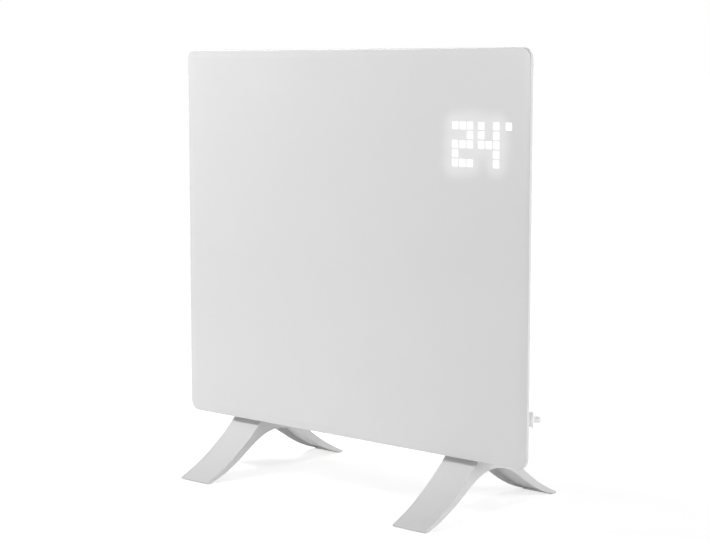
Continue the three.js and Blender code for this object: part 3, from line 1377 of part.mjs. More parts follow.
const controls = new THREE.Group();
piece(controls, "control_box", controlBox(), FINISH.blackPlastic());
piece(controls, "control_box_lid", controlBoxLid(), FINISH.blackPlastic());
piece(controls, "control_board", controlBoard(), FINISH.board());
const capacitor = moved(rod(CAPACITOR_RADIUS, 0, CAPACITOR_HEIGHT, ROUND_SIDES), alongDepth);
const terminals = terminalBlock(boxMiddle, boxBottom + TERMINAL_RISE);
piece(controls, "terminal_block", terminals, FINISH.whitePlastic());
const relay = boardBlock(RELAY_SIZE, boxLeft + RELAY_INSET, boxBottom + RELAY_RISE);
piece(controls, "relay", relay, FINISH.blackPlastic());
const capacitorPlace = [boxRight - CAPACITOR_INSET, onBoard, boxBottom + CAPACITOR_RISE];
piece(controls, "capacitor", placed(capacitor, capacitorPlace), FINISH.blackPlastic());
piece(controls, "transformer", transformer(boxMiddle, boxTop - TRANSFORMER_DROP), FINISH.copper());
piece(controls, "room_sensor", roomSensor(), FINISH.whitePlastic());
piece(controls, "sensor_clip", sensorClip(), FINISH.whitePlastic());
heater.add(controls);

const tiltSwitch = new THREE.Group();
piece(tiltSwitch, "tilt_switch_housing", tiltSwitchHousing(), FINISH.whitePlastic());
piece(tiltSwitch, "tilt_switch_cover", tiltSwitchCover(), FINISH.whitePlastic());
piece(tiltSwitch, "tilt_pin", tiltPin(), FINISH.zinc());
const pendulum = piece(tiltSwitch, "tilt_pendulum", tiltPendulum(), FINISH.zinc());
pendulum.position.set(pendulumPivot[0], atDepth(pendulumPivot[1]), pendulumPivot[2]);
heater.add(tiltSwitch);

const gland = new THREE.Group();
gland.applyMatrix4(glandPlace);
piece(gland, "cord_gland", cordGland(), FINISH.whitePlastic());
piece(gland, "gland_nut", glandNut(), FINISH.blackPlastic());
heater.add(gland);

const mainsSwitch = new THREE.Group();
mainsSwitch.applyMatrix4(switchPlace);
piece(mainsSwitch, "switch_frame", switchFrame(), FINISH.whitePlastic());
const rocker = piece(mainsSwitch, "switch_rocker", switchRocker(), FINISH.whitePlastic());
rocker.position.z = -ROCKER_PIVOT_DROP;
heater.add(mainsSwitch);

const wiring = new THREE.Group();
piece(wiring, "mains_lead", mainsLead(), FINISH.wire());
piece(wiring, "element_lead", elementLead(), FINISH.wire());
piece(wiring, "display_lead", displayLead(), FINISH.wire());
piece(wiring, "switch_lead", switchLead(), FINISH.wire());
heater.add(wiring);

for (const [side, word] of [
  [-1, "left"],
  [1, "right"],
]) {
  const stand = new THREE.Group();
  stand.position.x = side * footX;
  piece(stand, `${word}_foot`, foot(), FINISH.whitePlastic());
  piece(stand, `foot_pad_${word}_front`, footPad(-1), FINISH.rubber());
  piece(stand, `foot_pad_${word}_rear`, footPad(1), FINISH.rubber());
  footScrewYs.forEach((y, i) => {
    const length = FOOT_BOSS_HEIGHT + SCREW_LENGTH / 2;
    const mesh = piece(stand, `foot_screw_${word}_${i ? "rear" : "front"}`, screw(length), FINISH.zinc());
    mesh.rotation.x = Math.PI;
    mesh.position.set(0, y, footTop - FOOT_BOSS_HEIGHT);
  });
  heater.add(stand);
}

export default heater;
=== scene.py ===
import math

import bmesh
import bpy
from mathutils import Matrix, Vector


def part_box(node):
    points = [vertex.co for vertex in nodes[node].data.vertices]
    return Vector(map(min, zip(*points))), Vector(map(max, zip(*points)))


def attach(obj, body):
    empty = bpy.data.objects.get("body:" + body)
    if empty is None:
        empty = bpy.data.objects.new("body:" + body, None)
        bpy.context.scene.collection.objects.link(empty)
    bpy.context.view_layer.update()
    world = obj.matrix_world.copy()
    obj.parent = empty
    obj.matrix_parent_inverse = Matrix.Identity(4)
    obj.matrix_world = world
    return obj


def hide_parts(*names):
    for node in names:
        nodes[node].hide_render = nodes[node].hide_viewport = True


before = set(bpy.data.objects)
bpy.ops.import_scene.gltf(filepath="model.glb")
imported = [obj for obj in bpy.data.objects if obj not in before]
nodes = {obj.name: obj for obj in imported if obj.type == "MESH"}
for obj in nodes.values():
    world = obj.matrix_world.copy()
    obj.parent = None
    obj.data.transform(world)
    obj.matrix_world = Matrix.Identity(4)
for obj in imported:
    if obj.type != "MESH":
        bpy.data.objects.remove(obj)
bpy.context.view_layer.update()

# ---------------------------------------------------------------- studio
# A pale floor, a white surround and soft lamps, with the camera at the photograph's angle: a little
# above the middle of the panel and well to its right. Everything here is scenery except the camera.
CAMERA_PLACE = (1.3555, -1.5453, 0.4967)
CAMERA_TURN = 41.605
CAMERA_DROP = 6.934
CAMERA_LENS = 89.64

FLOOR_WHITE = "#F4F4F4"
SURROUND_WHITE = "#FFFFFF"
SURROUND_LOW = 0.25
SURROUND_HIGH = 0.0
FLOOR_GLOW_NEAR = 0.56
FLOOR_GLOW_START = 0.9
FLOOR_GLOW_END = 3.0
FLOOR_FILL = 0.1
FLOOR_HALF = 60
LAMP_AIM = (0, 0, 0.25)


def linear(colour):
    """An sRGB hex colour as linear red, green, blue and alpha."""
    parts = [int(colour[i:i + 2], 16) / 255 for i in (1, 3, 5)]
    return [p / 12.92 if p <= 0.04045 else ((p + 0.055) / 1.055) ** 2.4 for p in parts] + [1.0]


def put(tree, kind, sockets=None, **settings):
    """Adds a node with its settings. A socket takes a value, or the output that is linked to it."""
    node = tree.nodes.new(kind)
    for name, value in settings.items():
        setattr(node, name, value)
    for name, value in (sockets or {}).items():
        if isinstance(value, bpy.types.NodeSocket):
            tree.links.new(value, node.inputs[name])
        else:
            node.inputs[name].default_value = value
    return node


def blank(owner):
    """The empty node tree of a material or a world."""
    owner.use_nodes = True
    owner.node_tree.nodes.clear()
    return owner.node_tree


def aim(thing, target):
    """Turns a lamp or a camera towards a point."""
    thing.rotation_mode = "QUATERNION"
    thing.rotation_quaternion = (Vector(target) - thing.location).to_track_quat("-Z", "Y")


scene = bpy.context.scene
scene.view_settings.view_transform = "Standard"

camera = bpy.data.objects.new("camera", bpy.data.cameras.new("camera"))
camera.data.lens = CAMERA_LENS
camera.data.clip_start = 0.05
camera.data.clip_end = 200
camera.location = CAMERA_PLACE
turn, drop = math.radians(CAMERA_TURN), math.radians(CAMERA_DROP)
back = Vector((math.sin(turn) * math.cos(drop), -math.cos(turn) * math.cos(drop), math.sin(drop)))
aim(camera, camera.location - back)
scene.collection.objects.link(camera)
scene.camera = camera

# The surround looks white to the camera and in reflections, and lights from near the horizon only.
surround = bpy.data.worlds.new("surround")
scene.world = surround
tree = blank(surround)
rays = put(tree, "ShaderNodeLightPath")
seen = put(tree, "ShaderNodeMath", {0: rays.outputs["Is Camera Ray"], 1: rays.outputs["Is Glossy Ray"]},
           operation="MAXIMUM")
seen = put(tree, "ShaderNodeMath", {0: seen.outputs[0], 1: rays.outputs["Is Transmission Ray"]},
           operation="MAXIMUM")
shown = put(tree, "ShaderNodeBackground", {"Color": linear(SURROUND_WHITE), "Strength": 1.0})
direction = put(tree, "ShaderNodeSeparateXYZ", {0: put(tree, "ShaderNodeTexCoord").outputs["Generated"]})
strength = put(tree, "ShaderNodeMapRange", {
    "Value": direction.outputs["Z"], "From Min": 0.0, "From Max": 1.0,
    "To Min": SURROUND_LOW, "To Max": SURROUND_HIGH})
lighting = put(tree, "ShaderNodeBackground",
               {"Color": linear(SURROUND_WHITE), "Strength": strength.outputs[0]})
mixed = put(tree, "ShaderNodeMixShader",
            {0: seen.outputs[0], 1: lighting.outputs[0], 2: shown.outputs[0]})
put(tree, "ShaderNodeOutputWorld", {"Surface": mixed.outputs[0]})

# Matt paper that keeps the heater's shadow and looks pure white round it: it glows where it is seen,
# fully from a few metres on, and everywhere a little, which keeps the shadow faint.
paper = bpy.data.materials.new("white studio paper")
tree = blank(paper)
rays = put(tree, "ShaderNodeLightPath")
seen = put(tree, "ShaderNodeMath", {0: rays.outputs["Is Camera Ray"], 1: rays.outputs["Is Glossy Ray"]},
           operation="MAXIMUM")
far = put(tree, "ShaderNodeVectorMath", {0: put(tree, "ShaderNodeNewGeometry").outputs["Position"]},
          operation="LENGTH")
level = put(tree, "ShaderNodeMapRange", {
    "Value": far.outputs["Value"], "From Min": FLOOR_GLOW_START, "From Max": FLOOR_GLOW_END,
    "To Min": FLOOR_GLOW_NEAR, "To Max": 1.0})
share = put(tree, "ShaderNodeMath", {0: seen.outputs[0], 1: level.outputs[0]}, operation="MULTIPLY")
share = put(tree, "ShaderNodeMath", {0: share.outputs[0], 1: FLOOR_FILL}, operation="MAXIMUM")
matt = put(tree, "ShaderNodeBsdfDiffuse", {"Color": linear(FLOOR_WHITE)})
glow = put(tree, "ShaderNodeEmission", {"Color": linear(SURROUND_WHITE), "Strength": share.outputs[0]})
paper_light = put(tree, "ShaderNodeAddShader", {0: matt.outputs[0], 1: glow.outputs[0]})
put(tree, "ShaderNodeOutputMaterial", {"Surface": paper_light.outputs[0]})

ground = bpy.data.meshes.new("floor")
corners = [(x * FLOOR_HALF, y * FLOOR_HALF, 0) for x, y in ((-1, -1), (1, -1), (1, 1), (-1, 1))]
ground.from_pydata(corners, [], [(0, 1, 2, 3)])
ground.materials.append(paper)
floor = bpy.data.objects.new("floor", ground)
scene.collection.objects.link(floor)

# Two lamps high on the left, whose light the glass keeps off the seats of the feet, a broad one from the
# left front, two from the right, of which the rear one leaves the glass alone, and one for the back.
for name, place, size, power in (
    ("top_lamp", (-0.8, -0.45, 1.45), 0.4, 9),
    ("left_lamp", (-1.1, -0.5, 1.3), 0.4, 5),
    ("front_lamp", (-0.7, -1.9, 0.65), 0.6, 6.5),
    ("right_lamp", (2.4, -0.3, 1.0), 1.2, 13),
    ("side_lamp", (2.2, 0.6, 0.5), 1.0, 14),
    ("rear_lamp", (0.5, 2.4, 1.6), 1.2, 19),
):
    lamp = bpy.data.objects.new(name, bpy.data.lights.new(name, "AREA"))
    lamp.data.shape = "DISK"
    lamp.data.size = size
    lamp.data.energy = power
    lamp.location = place
    aim(lamp, LAMP_AIM)
    scene.collection.objects.link(lamp)

# ---------------------------------------------------------------- glass front
# One sheet of 5 mm tempered float glass, with ground and polished edges and white ceramic enamel fired
# onto its back. It is bonded to the steel behind it, so no fixing shows. The enamel thins out along
# the edges, and it is left thin over the display, whose cells shine through it.
GLASS_CORNER = 11.5
GLASS_EDGE_ROUND = 1.2
GLASS_FLAT_INSET = 2.64  # a ring of points on each face that keeps its shading flat
GLASS_FACE_SETBACK = 0.03
EDGE_FACING = 0.8  # faces turned further to the side than this are the edge's
ENAMEL_WHITE = "#F3F3F3"
CLOUD_GREY = "#EDEDED"
POLISHED_EDGE = "#E6E6E6"
CELL_LIGHT = "#FFFFFF"
RIM_WIDTH = 9.5
RIM_SLOPE = 0.07
RIM_CORNER_BLEND = 12.0
CLOUD_SIZE = 200.0
FLOAT_WAVE = 16.7
FLOAT_WAVE_DEPTH = 1.0
GRIND_MARK = 1.11
GRIND_DEPTH = 0.3

CELL_PITCH = 10.1
CELL_SIZE = 8.6
CELL_CORNER = 0.9
CELL_PROUD = 0.02
CELL_SUNK = 0.2
CELL_GRAIN = 2.86
HALO_NEAR = 1.0
HALO_REACH = 24.0
HALO_BLEND = 14.0
HALO_LIGHT = 0.12
TOP_ROW = 432.0
TENS_COLUMN = 160.9
UNITS_COLUMN = 196.4
DEGREE_COLUMN = 233.0
TWO = ("111", "001", "111", "100", "111")
FOUR = ("101", "101", "111", "001", "001")


def rounded_outline(left, right, low, high, radius, steps):
    """The corners of a rounded rectangle, counterclockwise, as pairs."""
    points = []
    for x, y, start in (
        (right - radius, low + radius, -90),
        (right - radius, high - radius, 0),
        (left + radius, high - radius, 90),
        (left + radius, low + radius, 180),
    ):
        for i in range(steps + 1):
            angle = math.radians(start + 90 * i / steps)
            points.append((x + radius * math.cos(angle), y + radius * math.sin(angle)))
    return points


def lofted(rings):
    """Vertices and faces of a closed form through rings of points, with flat ends."""
    size = len(rings[0])
    faces = [tuple(range(size)), tuple(range(len(rings) * size - 1, (len(rings) - 1) * size - 1, -1))]
    for r in range(len(rings) - 1):
        for i in range(size):
            a, b = r * size + i, r * size + (i + 1) % size
            faces.append((a, a + size, b + size, b))
    return [p for ring in rings for p in ring], faces


def piece(name, forms, material, body=None, stands_for=()):
    """A piece of the heater from forms in millimetres: a new object that rides on a body."""
    shape = bmesh.new()
    for points, faces in forms:
        made = [shape.verts.new(Vector(p) * 0.001) for p in points]
        for face in faces:
            shape.faces.new([made[i] for i in face])
    bmesh.ops.remove_doubles(shape, verts=shape.verts, dist=1e-7)
    bmesh.ops.recalc_face_normals(shape, faces=shape.faces)
    mesh = bpy.data.meshes.new(name)
    shape.to_mesh(mesh)
    shape.free()
    made = bpy.data.objects.new(name, mesh)
    scene.collection.objects.link(made)
    if material:
        mesh.materials.append(material)
    if body:
        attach(made, body)
    if stands_for:
        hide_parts(*stands_for)
    return made


def smooth(thing, angle=32):
    """Smooth shading, except over edges sharper than an angle, with flat faces kept flat."""
    thing.data.shade_smooth()
    thing.data.set_sharp_from_angle(angle=math.radians(angle))
    flat = thing.modifiers.new("flat faces", "WEIGHTED_NORMAL")
    flat.keep_sharp = True
    return thing


def surface(name, colour, roughness, metallic=0.0, **more):
    """A material with its shader and its place in the heater, in metres: tree, shader, place."""
    made = bpy.data.materials.new(name)
    tree = blank(made)
    shader = put(tree, "ShaderNodeBsdfPrincipled", {
        "Base Color": linear(colour), "Roughness": roughness, "Metallic": metallic, **more})
    put(tree, "ShaderNodeOutputMaterial", {"Surface": shader.outputs[0]})
    place = put(tree, "ShaderNodeTexCoord").outputs["Object"]
    return made, tree, shader, place


def per_metre(size):
    """The scale of a pattern from the size of what repeats in it, in millimetres."""
    return 1000 / size


glass_low, glass_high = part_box("glass_panel")
glass_middle = (glass_low + glass_high) / 2

# Fired enamel seen through clear float glass: an even white with a faint cloud in it, under a hard
# gloss. Its border slopes off a little, so it looks a shade lighter towards the lamps and a shade
# darker away from them.
enamel, tree, shader, place = surface(
    "enamelled float glass", ENAMEL_WHITE, 0.3, **{"Coat Weight": 0.55, "Coat Roughness": 0.06})
centred = put(tree, "ShaderNodeVectorMath", {0: place, 1: glass_middle}, operation="SUBTRACT")
folded = put(tree, "ShaderNodeVectorMath", {0: centred.outputs[0]}, operation="ABSOLUTE")
sides = put(tree, "ShaderNodeSeparateXYZ", {0: folded.outputs[0]})
half = (glass_high - glass_low) / 2
from_side = put(tree, "ShaderNodeMath", {0: half.x, 1: sides.outputs["X"]}, operation="SUBTRACT")
from_end = put(tree, "ShaderNodeMath", {0: half.z, 1: sides.outputs["Z"]}, operation="SUBTRACT")
to_edge = put(tree, "ShaderNodeMath", {
    0: from_side.outputs[0], 1: from_end.outputs[0], 2: RIM_CORNER_BLEND / 1000}, operation="SMOOTH_MIN")
thinned = put(tree, "ShaderNodeMath", {0: to_edge.outputs[0], 1: RIM_WIDTH / 1000}, operation="MINIMUM")
rim = put(tree, "ShaderNodeBump", {
    "Height": thinned.outputs[0], "Strength": 1.0, "Distance": RIM_SLOPE})
tree.links.new(rim.outputs[0], shader.inputs["Normal"])
cloud = put(tree, "ShaderNodeTexNoise", {
    "Vector": place, "Scale": per_metre(CLOUD_SIZE), "Detail": 2.0})
cloud_share = put(tree, "ShaderNodeMapRange", {
    "Value": cloud.outputs["Fac"], "To Min": 0.0, "To Max": 0.25})
clouded = put(tree, "ShaderNodeMix", {
    0: cloud_share.outputs[0], 6: linear(ENAMEL_WHITE), 7: linear(CLOUD_GREY)}, data_type="RGBA")
tree.links.new(clouded.outputs[2], shader.inputs["Base Color"])
ripple = put(tree, "ShaderNodeTexNoise", {
    "Vector": place, "Scale": per_metre(FLOAT_WAVE), "Detail": 3.0})
waves = put(tree, "ShaderNodeBump", {
    "Height": ripple.outputs["Fac"], "Strength": 0.015, "Distance": FLOAT_WAVE_DEPTH / 1000})
tree.links.new(waves.outputs[0], shader.inputs["Coat Normal"])

# The light of the cells spreads a little in the glass: a halo round each stroke of a digit, as first
# column, last column, first row and last row, that fades out some 24 mm from it.
near = None
strokes = [(TENS_COLUMN, *stroke)
           for stroke in ((0, 2, 0, 0), (2, 2, 0, 2), (0, 2, 2, 2), (0, 0, 2, 4), (0, 2, 4, 4))]
strokes += [(UNITS_COLUMN, *stroke) for stroke in ((0, 0, 0, 2), (0, 2, 2, 2), (2, 2, 0, 4))]
for column, first, last, top, bottom in strokes:
    middle = ((column + (first + last) * CELL_PITCH / 2) / 1000, glass_low.y,
              (TOP_ROW - (top + bottom) * CELL_PITCH / 2) / 1000)
    reach = ((last - first) * CELL_PITCH / 2000, 1.0, (bottom - top) * CELL_PITCH / 2000)
    offset = put(tree, "ShaderNodeVectorMath", {0: place, 1: middle}, operation="SUBTRACT")
    offset = put(tree, "ShaderNodeVectorMath", {0: offset.outputs[0]}, operation="ABSOLUTE")
    offset = put(tree, "ShaderNodeVectorMath", {0: offset.outputs[0], 1: reach}, operation="SUBTRACT")
    offset = put(tree, "ShaderNodeVectorMath", {0: offset.outputs[0], 1: (0, 0, 0)}, operation="MAXIMUM")
    length = put(tree, "ShaderNodeVectorMath", {0: offset.outputs[0]}, operation="LENGTH")
    distance = length.outputs["Value"]
    near = distance if near is None else put(
        tree, "ShaderNodeMath", {0: near, 1: distance, 2: HALO_BLEND / 1000},
        operation="SMOOTH_MIN").outputs[0]
halo = put(tree, "ShaderNodeMapRange", {
    "Value": near, "From Min": HALO_NEAR / 1000, "From Max": HALO_REACH / 1000,
    "To Min": HALO_LIGHT, "To Max": 0.0},
    interpolation_type="SMOOTHERSTEP")
tree.links.new(halo.outputs[0], shader.inputs["Emission Strength"])
shader.inputs["Emission Color"].default_value = linear(CELL_LIGHT)

# Ground and polished glass: the edge gathers light, so it looks brighter than the enamel beside it. The
# marks of the grinding are drawn coarser than they are, so that they show as a soft sparkle.
edge_glass, tree, shader, place = surface("polished glass edge", POLISHED_EDGE, 0.34)
grind = put(tree, "ShaderNodeTexNoise", {
    "Vector": place, "Scale": per_metre(GRIND_MARK), "Detail": 2.0})
ground_marks = put(tree, "ShaderNodeBump", {
    "Height": grind.outputs["Fac"], "Strength": 0.06, "Distance": GRIND_DEPTH / 1000})
tree.links.new(ground_marks.outputs[0], shader.inputs["Normal"])


def glass_ring(inset, y):
    """The glass's outline moved in by an inset, at a depth."""
    outline = rounded_outline(
        glass_low.x * 1000 + inset, glass_high.x * 1000 - inset, glass_low.z * 1000 + inset,
        glass_high.z * 1000 - inset, GLASS_CORNER - inset, 14)
    return [(x, y, z) for x, z in outline]


glass_front, glass_back = glass_low.y * 1000 + GLASS_FACE_SETBACK, glass_high.y * 1000
edge_angles = [math.radians(15 * i) for i in range(7)]
rings = [glass_ring(GLASS_FLAT_INSET, glass_front)]
rings += [glass_ring(GLASS_EDGE_ROUND * (1 - math.sin(a)),
                     glass_front + GLASS_EDGE_ROUND * (1 - math.cos(a))) for a in edge_angles]
rings += [glass_ring(GLASS_EDGE_ROUND * (1 - math.cos(a)),
                     glass_back - GLASS_EDGE_ROUND * (1 - math.sin(a))) for a in edge_angles]
rings += [glass_ring(GLASS_FLAT_INSET, glass_back)]
glass = piece("glass_sheet", [lofted(rings)], enamel, "heater", ["glass_panel"])
glass.data.materials.append(edge_glass)
for face in glass.data.polygons:
    if abs(face.normal.y) < EDGE_FACING:
        face.material_index = 1
smooth(glass, 40)

# The lit cells lie in the thin enamel: each is a square of white light, a little uneven as the enamel
# is, and brighter than the white round it.
lit = bpy.data.materials.new("white light through thin enamel")
tree = blank(lit)
place = put(tree, "ShaderNodeTexCoord").outputs["Object"]
grain = put(tree, "ShaderNodeTexNoise", {"Vector": place, "Scale": per_metre(CELL_GRAIN)})
level = put(tree, "ShaderNodeMapRange", {
    "Value": grain.outputs["Fac"], "To Min": 1.02, "To Max": 1.12})
light = put(tree, "ShaderNodeEmission", {"Color": linear(CELL_LIGHT), "Strength": level.outputs[0]})
put(tree, "ShaderNodeOutputMaterial", {"Surface": light.outputs[0]})

cells = [(TENS_COLUMN + c * CELL_PITCH, TOP_ROW - r * CELL_PITCH)
         for r, row in enumerate(TWO) for c, on in enumerate(row) if on == "1"]
cells += [(UNITS_COLUMN + c * CELL_PITCH, TOP_ROW - r * CELL_PITCH)
          for r, row in enumerate(FOUR) for c, on in enumerate(row) if on == "1"]
cells.append((DEGREE_COLUMN, TOP_ROW))
cell_forms = []
for x, z in cells:
    outline = rounded_outline(
        x - CELL_SIZE / 2, x + CELL_SIZE / 2, z - CELL_SIZE / 2, z + CELL_SIZE / 2, CELL_CORNER, 3)
    cell_forms.append(lofted([[(px, y, pz) for px, pz in outline]
                              for y in (glass_front - CELL_PROUD, glass_front + CELL_SUNK)]))
piece("display_cells", cell_forms, lit, "heater")

# ---------------------------------------------------------------- bonding tape
# A ring of thin foam tape, sticky on both sides, that holds the glass on the steel and takes up the
# difference when the two warm up.
FOAM_PORE = 0.625
FOAM_PORE_DEPTH = 0.3

# Closed-cell foam with cut edges: matt black, with pores that swallow the light.
foam, tree, shader, place = surface("closed-cell foam tape", "#2B2B2C", 0.95)
pores = put(tree, "ShaderNodeTexVoronoi", {"Vector": place, "Scale": per_metre(FOAM_PORE)})
dents = put(tree, "ShaderNodeBump", {
    "Height": pores.outputs["Distance"], "Strength": 0.5, "Distance": FOAM_PORE_DEPTH / 1000})
tree.links.new(dents.outputs[0], shader.inputs["Normal"])


def finish_nodes(material, *names):
    """Gives CAD nodes a material and smooth round faces."""
    for name in names:
        nodes[name].data.materials.clear()
        nodes[name].data.materials.append(material)
        smooth(nodes[name])


finish_nodes(foam, "glass_tape")

# ---------------------------------------------------------------- front carrier
# A tray folded from 1 mm zinc-plated steel sheet, with pillars welded in for the back screws. The
# angles that hold the element and the strap of the cut-out are bent from such sheet too.
ZINC_CRYSTAL = 4.5

# Zinc-plated steel: bright grey, with faint crystals, a few millimetres across, that differ in
# brightness and gloss.
zinc, tree, shader, place = surface("zinc-plated steel sheet", "#B9BCBB", 0.38, 1.0)
crystals = put(tree, "ShaderNodeTexVoronoi", {"Vector": place, "Scale": per_metre(ZINC_CRYSTAL)})
tone = put(tree, "ShaderNodeSeparateColor", {0: crystals.outputs["Color"]})
sheen = put(tree, "ShaderNodeMapRange", {"Value": tone.outputs[0], "To Min": 0.3, "To Max": 0.48})
tree.links.new(sheen.outputs[0], shader.inputs["Roughness"])
shades = put(tree, "ShaderNodeMix", {
    0: tone.outputs[1], 6: linear("#AEB1B0"), 7: linear("#C4C7C6")}, data_type="RGBA")
tree.links.new(shades.outputs[2], shader.inputs["Base Color"])
finish_nodes(zinc, "front_carrier", "element_bracket_left", "element_bracket_right", "cutout_clip")

# ---------------------------------------------------------------- display behind the glass
# A milky film against the glass, a black moulded grid with a well for each cell, set in the carrier's
# window, and behind it a circuit board with the lamps on it.
FILM_HAZE = 2.0
MOULD_GRAIN = 0.67
MOULD_GRAIN_DEPTH = 0.2
THREAD_SPACING = 1.2
WAVE_LENGTH = math.pi / 10  # of a wave texture whose scale is 1

# Frosted polycarbonate film: it scatters the light, so it looks evenly white, with an uneven haze.
film, tree, shader, place = surface("milky polycarbonate film", "#F2F2F0", 0.55)
milk = put(tree, "ShaderNodeTexNoise", {"Vector": place, "Scale": per_metre(FILM_HAZE)})
haze = put(tree, "ShaderNodeMapRange", {"Value": milk.outputs["Fac"], "To Min": 0.45, "To Max": 0.65})
tree.links.new(haze.outputs[0], shader.inputs["Roughness"])
finish_nodes(film, "display_diffuser")


def moulded(name, colour, roughness, grain, strength):
    """A moulded material with the grain of its mould, of a size in millimetres."""
    made, tree, shader, place = surface(name, colour, roughness)
    grit = put(tree, "ShaderNodeTexNoise", {"Vector": place, "Scale": per_metre(grain), "Detail": 3.0})
    texture = put(tree, "ShaderNodeBump", {
        "Height": grit.outputs["Fac"], "Strength": strength, "Distance": MOULD_GRAIN_DEPTH / 1000})
    tree.links.new(texture.outputs[0], shader.inputs["Normal"])
    return made, tree, shader, place


# Moulded ABS: a soft shine, broken up by the grain of the mould, which is drawn coarser than it is, so
# that it shows.
black_moulding = moulded("black moulded ABS", "#1D1D1F", 0.5, MOULD_GRAIN, 0.25)[0]
finish_nodes(black_moulding, "display_light_grid")

# Glass cloth laminate under green varnish: the crossing threads show as a fine check in the green, and
# are drawn wider apart than they are.
laminate, tree, shader, place = surface("green circuit board laminate", "#1E5A39", 0.42)
threads = WAVE_LENGTH * per_metre(THREAD_SPACING)
weave = put(tree, "ShaderNodeTexWave", {"Vector": place, "Scale": threads}, bands_direction="X")
cross = put(tree, "ShaderNodeTexWave", {"Vector": place, "Scale": threads}, bands_direction="Z")
both = put(tree, "ShaderNodeMath", {0: weave.outputs["Fac"], 1: cross.outputs["Fac"]},
           operation="MULTIPLY")
varnish = put(tree, "ShaderNodeMix", {
    0: both.outputs[0], 6: linear("#1B5334"), 7: linear("#246643")}, data_type="RGBA")
tree.links.new(varnish.outputs[2], shader.inputs["Base Color"])
finish_nodes(laminate, "display_board", "control_board")

# ---------------------------------------------------------------- heating element
# An aluminium core with stamped aluminium fins pressed onto it. Its ends sit in ceramic caps, held by
# two steel angles.
HEAT_STAIN = 22.0
CERAMIC_SPECK = 1.1
CERAMIC_SPECK_DEPTH = 0.2

# Stamped aluminium: heat has dulled it slightly, and left stains some centimetres wide.
element_metal, tree, shader, place = surface("heat-dulled aluminium", "#A9A9AA", 0.46, 1.0)
stain = put(tree, "ShaderNodeTexNoise", {
    "Vector": place, "Scale": per_metre(HEAT_STAIN), "Detail": 4.0})
stained = put(tree, "ShaderNodeMix", {
    0: stain.outputs["Fac"], 6: linear("#9A9897"), 7: linear("#B8B8B9")}, data_type="RGBA")
tree.links.new(stained.outputs[2], shader.inputs["Base Color"])
finish_nodes(element_metal, "heating_element")

# Unglazed steatite: cream and chalky, with no shine. Its specks are drawn coarser than they are.
ceramic, tree, shader, place = surface("unglazed steatite ceramic", "#E6E0D2", 0.7)
specks = put(tree, "ShaderNodeTexNoise", {
    "Vector": place, "Scale": per_metre(CERAMIC_SPECK), "Detail": 4.0})
chalk = put(tree, "ShaderNodeBump", {
    "Height": specks.outputs["Fac"], "Strength": 0.3, "Distance": CERAMIC_SPECK_DEPTH / 1000})
tree.links.new(chalk.outputs[0], shader.inputs["Normal"])
finish_nodes(ceramic, "element_cap_left", "element_cap_right")

# ---------------------------------------------------------------- heat shield
# An aluminium sheet with bent lips and pressed stand-offs, between the element and the front. It keeps
# the heat of the element off the glass.
ROLLING_LINE = (250.0, 1.1, 1.1)  # along the sheet, through it and across it

# Mill-finish aluminium: the rolling leaves fine lines along the sheet, seen as streaks in its gloss and
# drawn wider than they are.
rolled, tree, shader, place = surface("mill-finish aluminium sheet", "#C9CACC", 0.34, 1.0)
stretched = put(tree, "ShaderNodeVectorMath", {
    0: place, 1: [per_metre(size) for size in ROLLING_LINE]}, operation="MULTIPLY")
lines = put(tree, "ShaderNodeTexNoise", {
    "Vector": stretched.outputs[0], "Scale": 1.0, "Detail": 3.0})
rolling = put(tree, "ShaderNodeMapRange", {
    "Value": lines.outputs["Fac"], "To Min": 0.26, "To Max": 0.44})
tree.links.new(rolling.outputs[0], shader.inputs["Roughness"])
finish_nodes(rolled, "heat_shield")

# ---------------------------------------------------------------- overheating cut-out
# A bimetal cut-out in a black case, which breaks the circuit of the element when the shield gets too
# hot. A strap holds it on the shield.
RESIN_FLECK = 1.4

# Moulded phenolic resin: hard, black and glossy, with flecks of its filler that dull it.
phenolic, tree, shader, place = surface("black phenolic resin", "#17171A", 0.32)
flecks = put(tree, "ShaderNodeTexNoise", {"Vector": place, "Scale": per_metre(RESIN_FLECK)})
flecked = put(tree, "ShaderNodeMapRange", {
    "Value": flecks.outputs["Fac"], "To Min": 0.25, "To Max": 0.42})
tree.links.new(flecked.outputs[0], shader.inputs["Roughness"])
finish_nodes(phenolic, "thermal_cutout")

# ---------------------------------------------------------------- control box
# A grey moulded box with its lid, which holds the power board with a terminal block, a relay, a
# capacitor and a transformer.
SLEEVE_FOLD = 8.3
SLEEVE_FOLD_DEPTH = 0.5
CORE_SHEET = 1.0
CORE_SHEET_DEPTH = 0.2

# Moulded ABS, with the same grain as the display's grid.
grey_moulding = moulded("grey moulded ABS", "#8D9092", 0.48, MOULD_GRAIN, 0.25)[0]
finish_nodes(grey_moulding, "control_box", "control_box_lid", "terminal_block", "sensor_clip",
             "tilt_switch_cover")
finish_nodes(black_moulding, "relay", "tilt_switch_housing")

# Shrunk plastic sleeve: dark blue and shiny, with shallow folds where it drew in.
sleeve, tree, shader, place = surface("capacitor shrink sleeve", "#1A2136", 0.25)
folds = put(tree, "ShaderNodeTexNoise", {"Vector": place, "Scale": per_metre(SLEEVE_FOLD)})
creases = put(tree, "ShaderNodeBump", {
    "Height": folds.outputs["Fac"], "Strength": 0.1, "Distance": SLEEVE_FOLD_DEPTH / 1000})
tree.links.new(creases.outputs[0], shader.inputs["Normal"])
finish_nodes(sleeve, "capacitor")

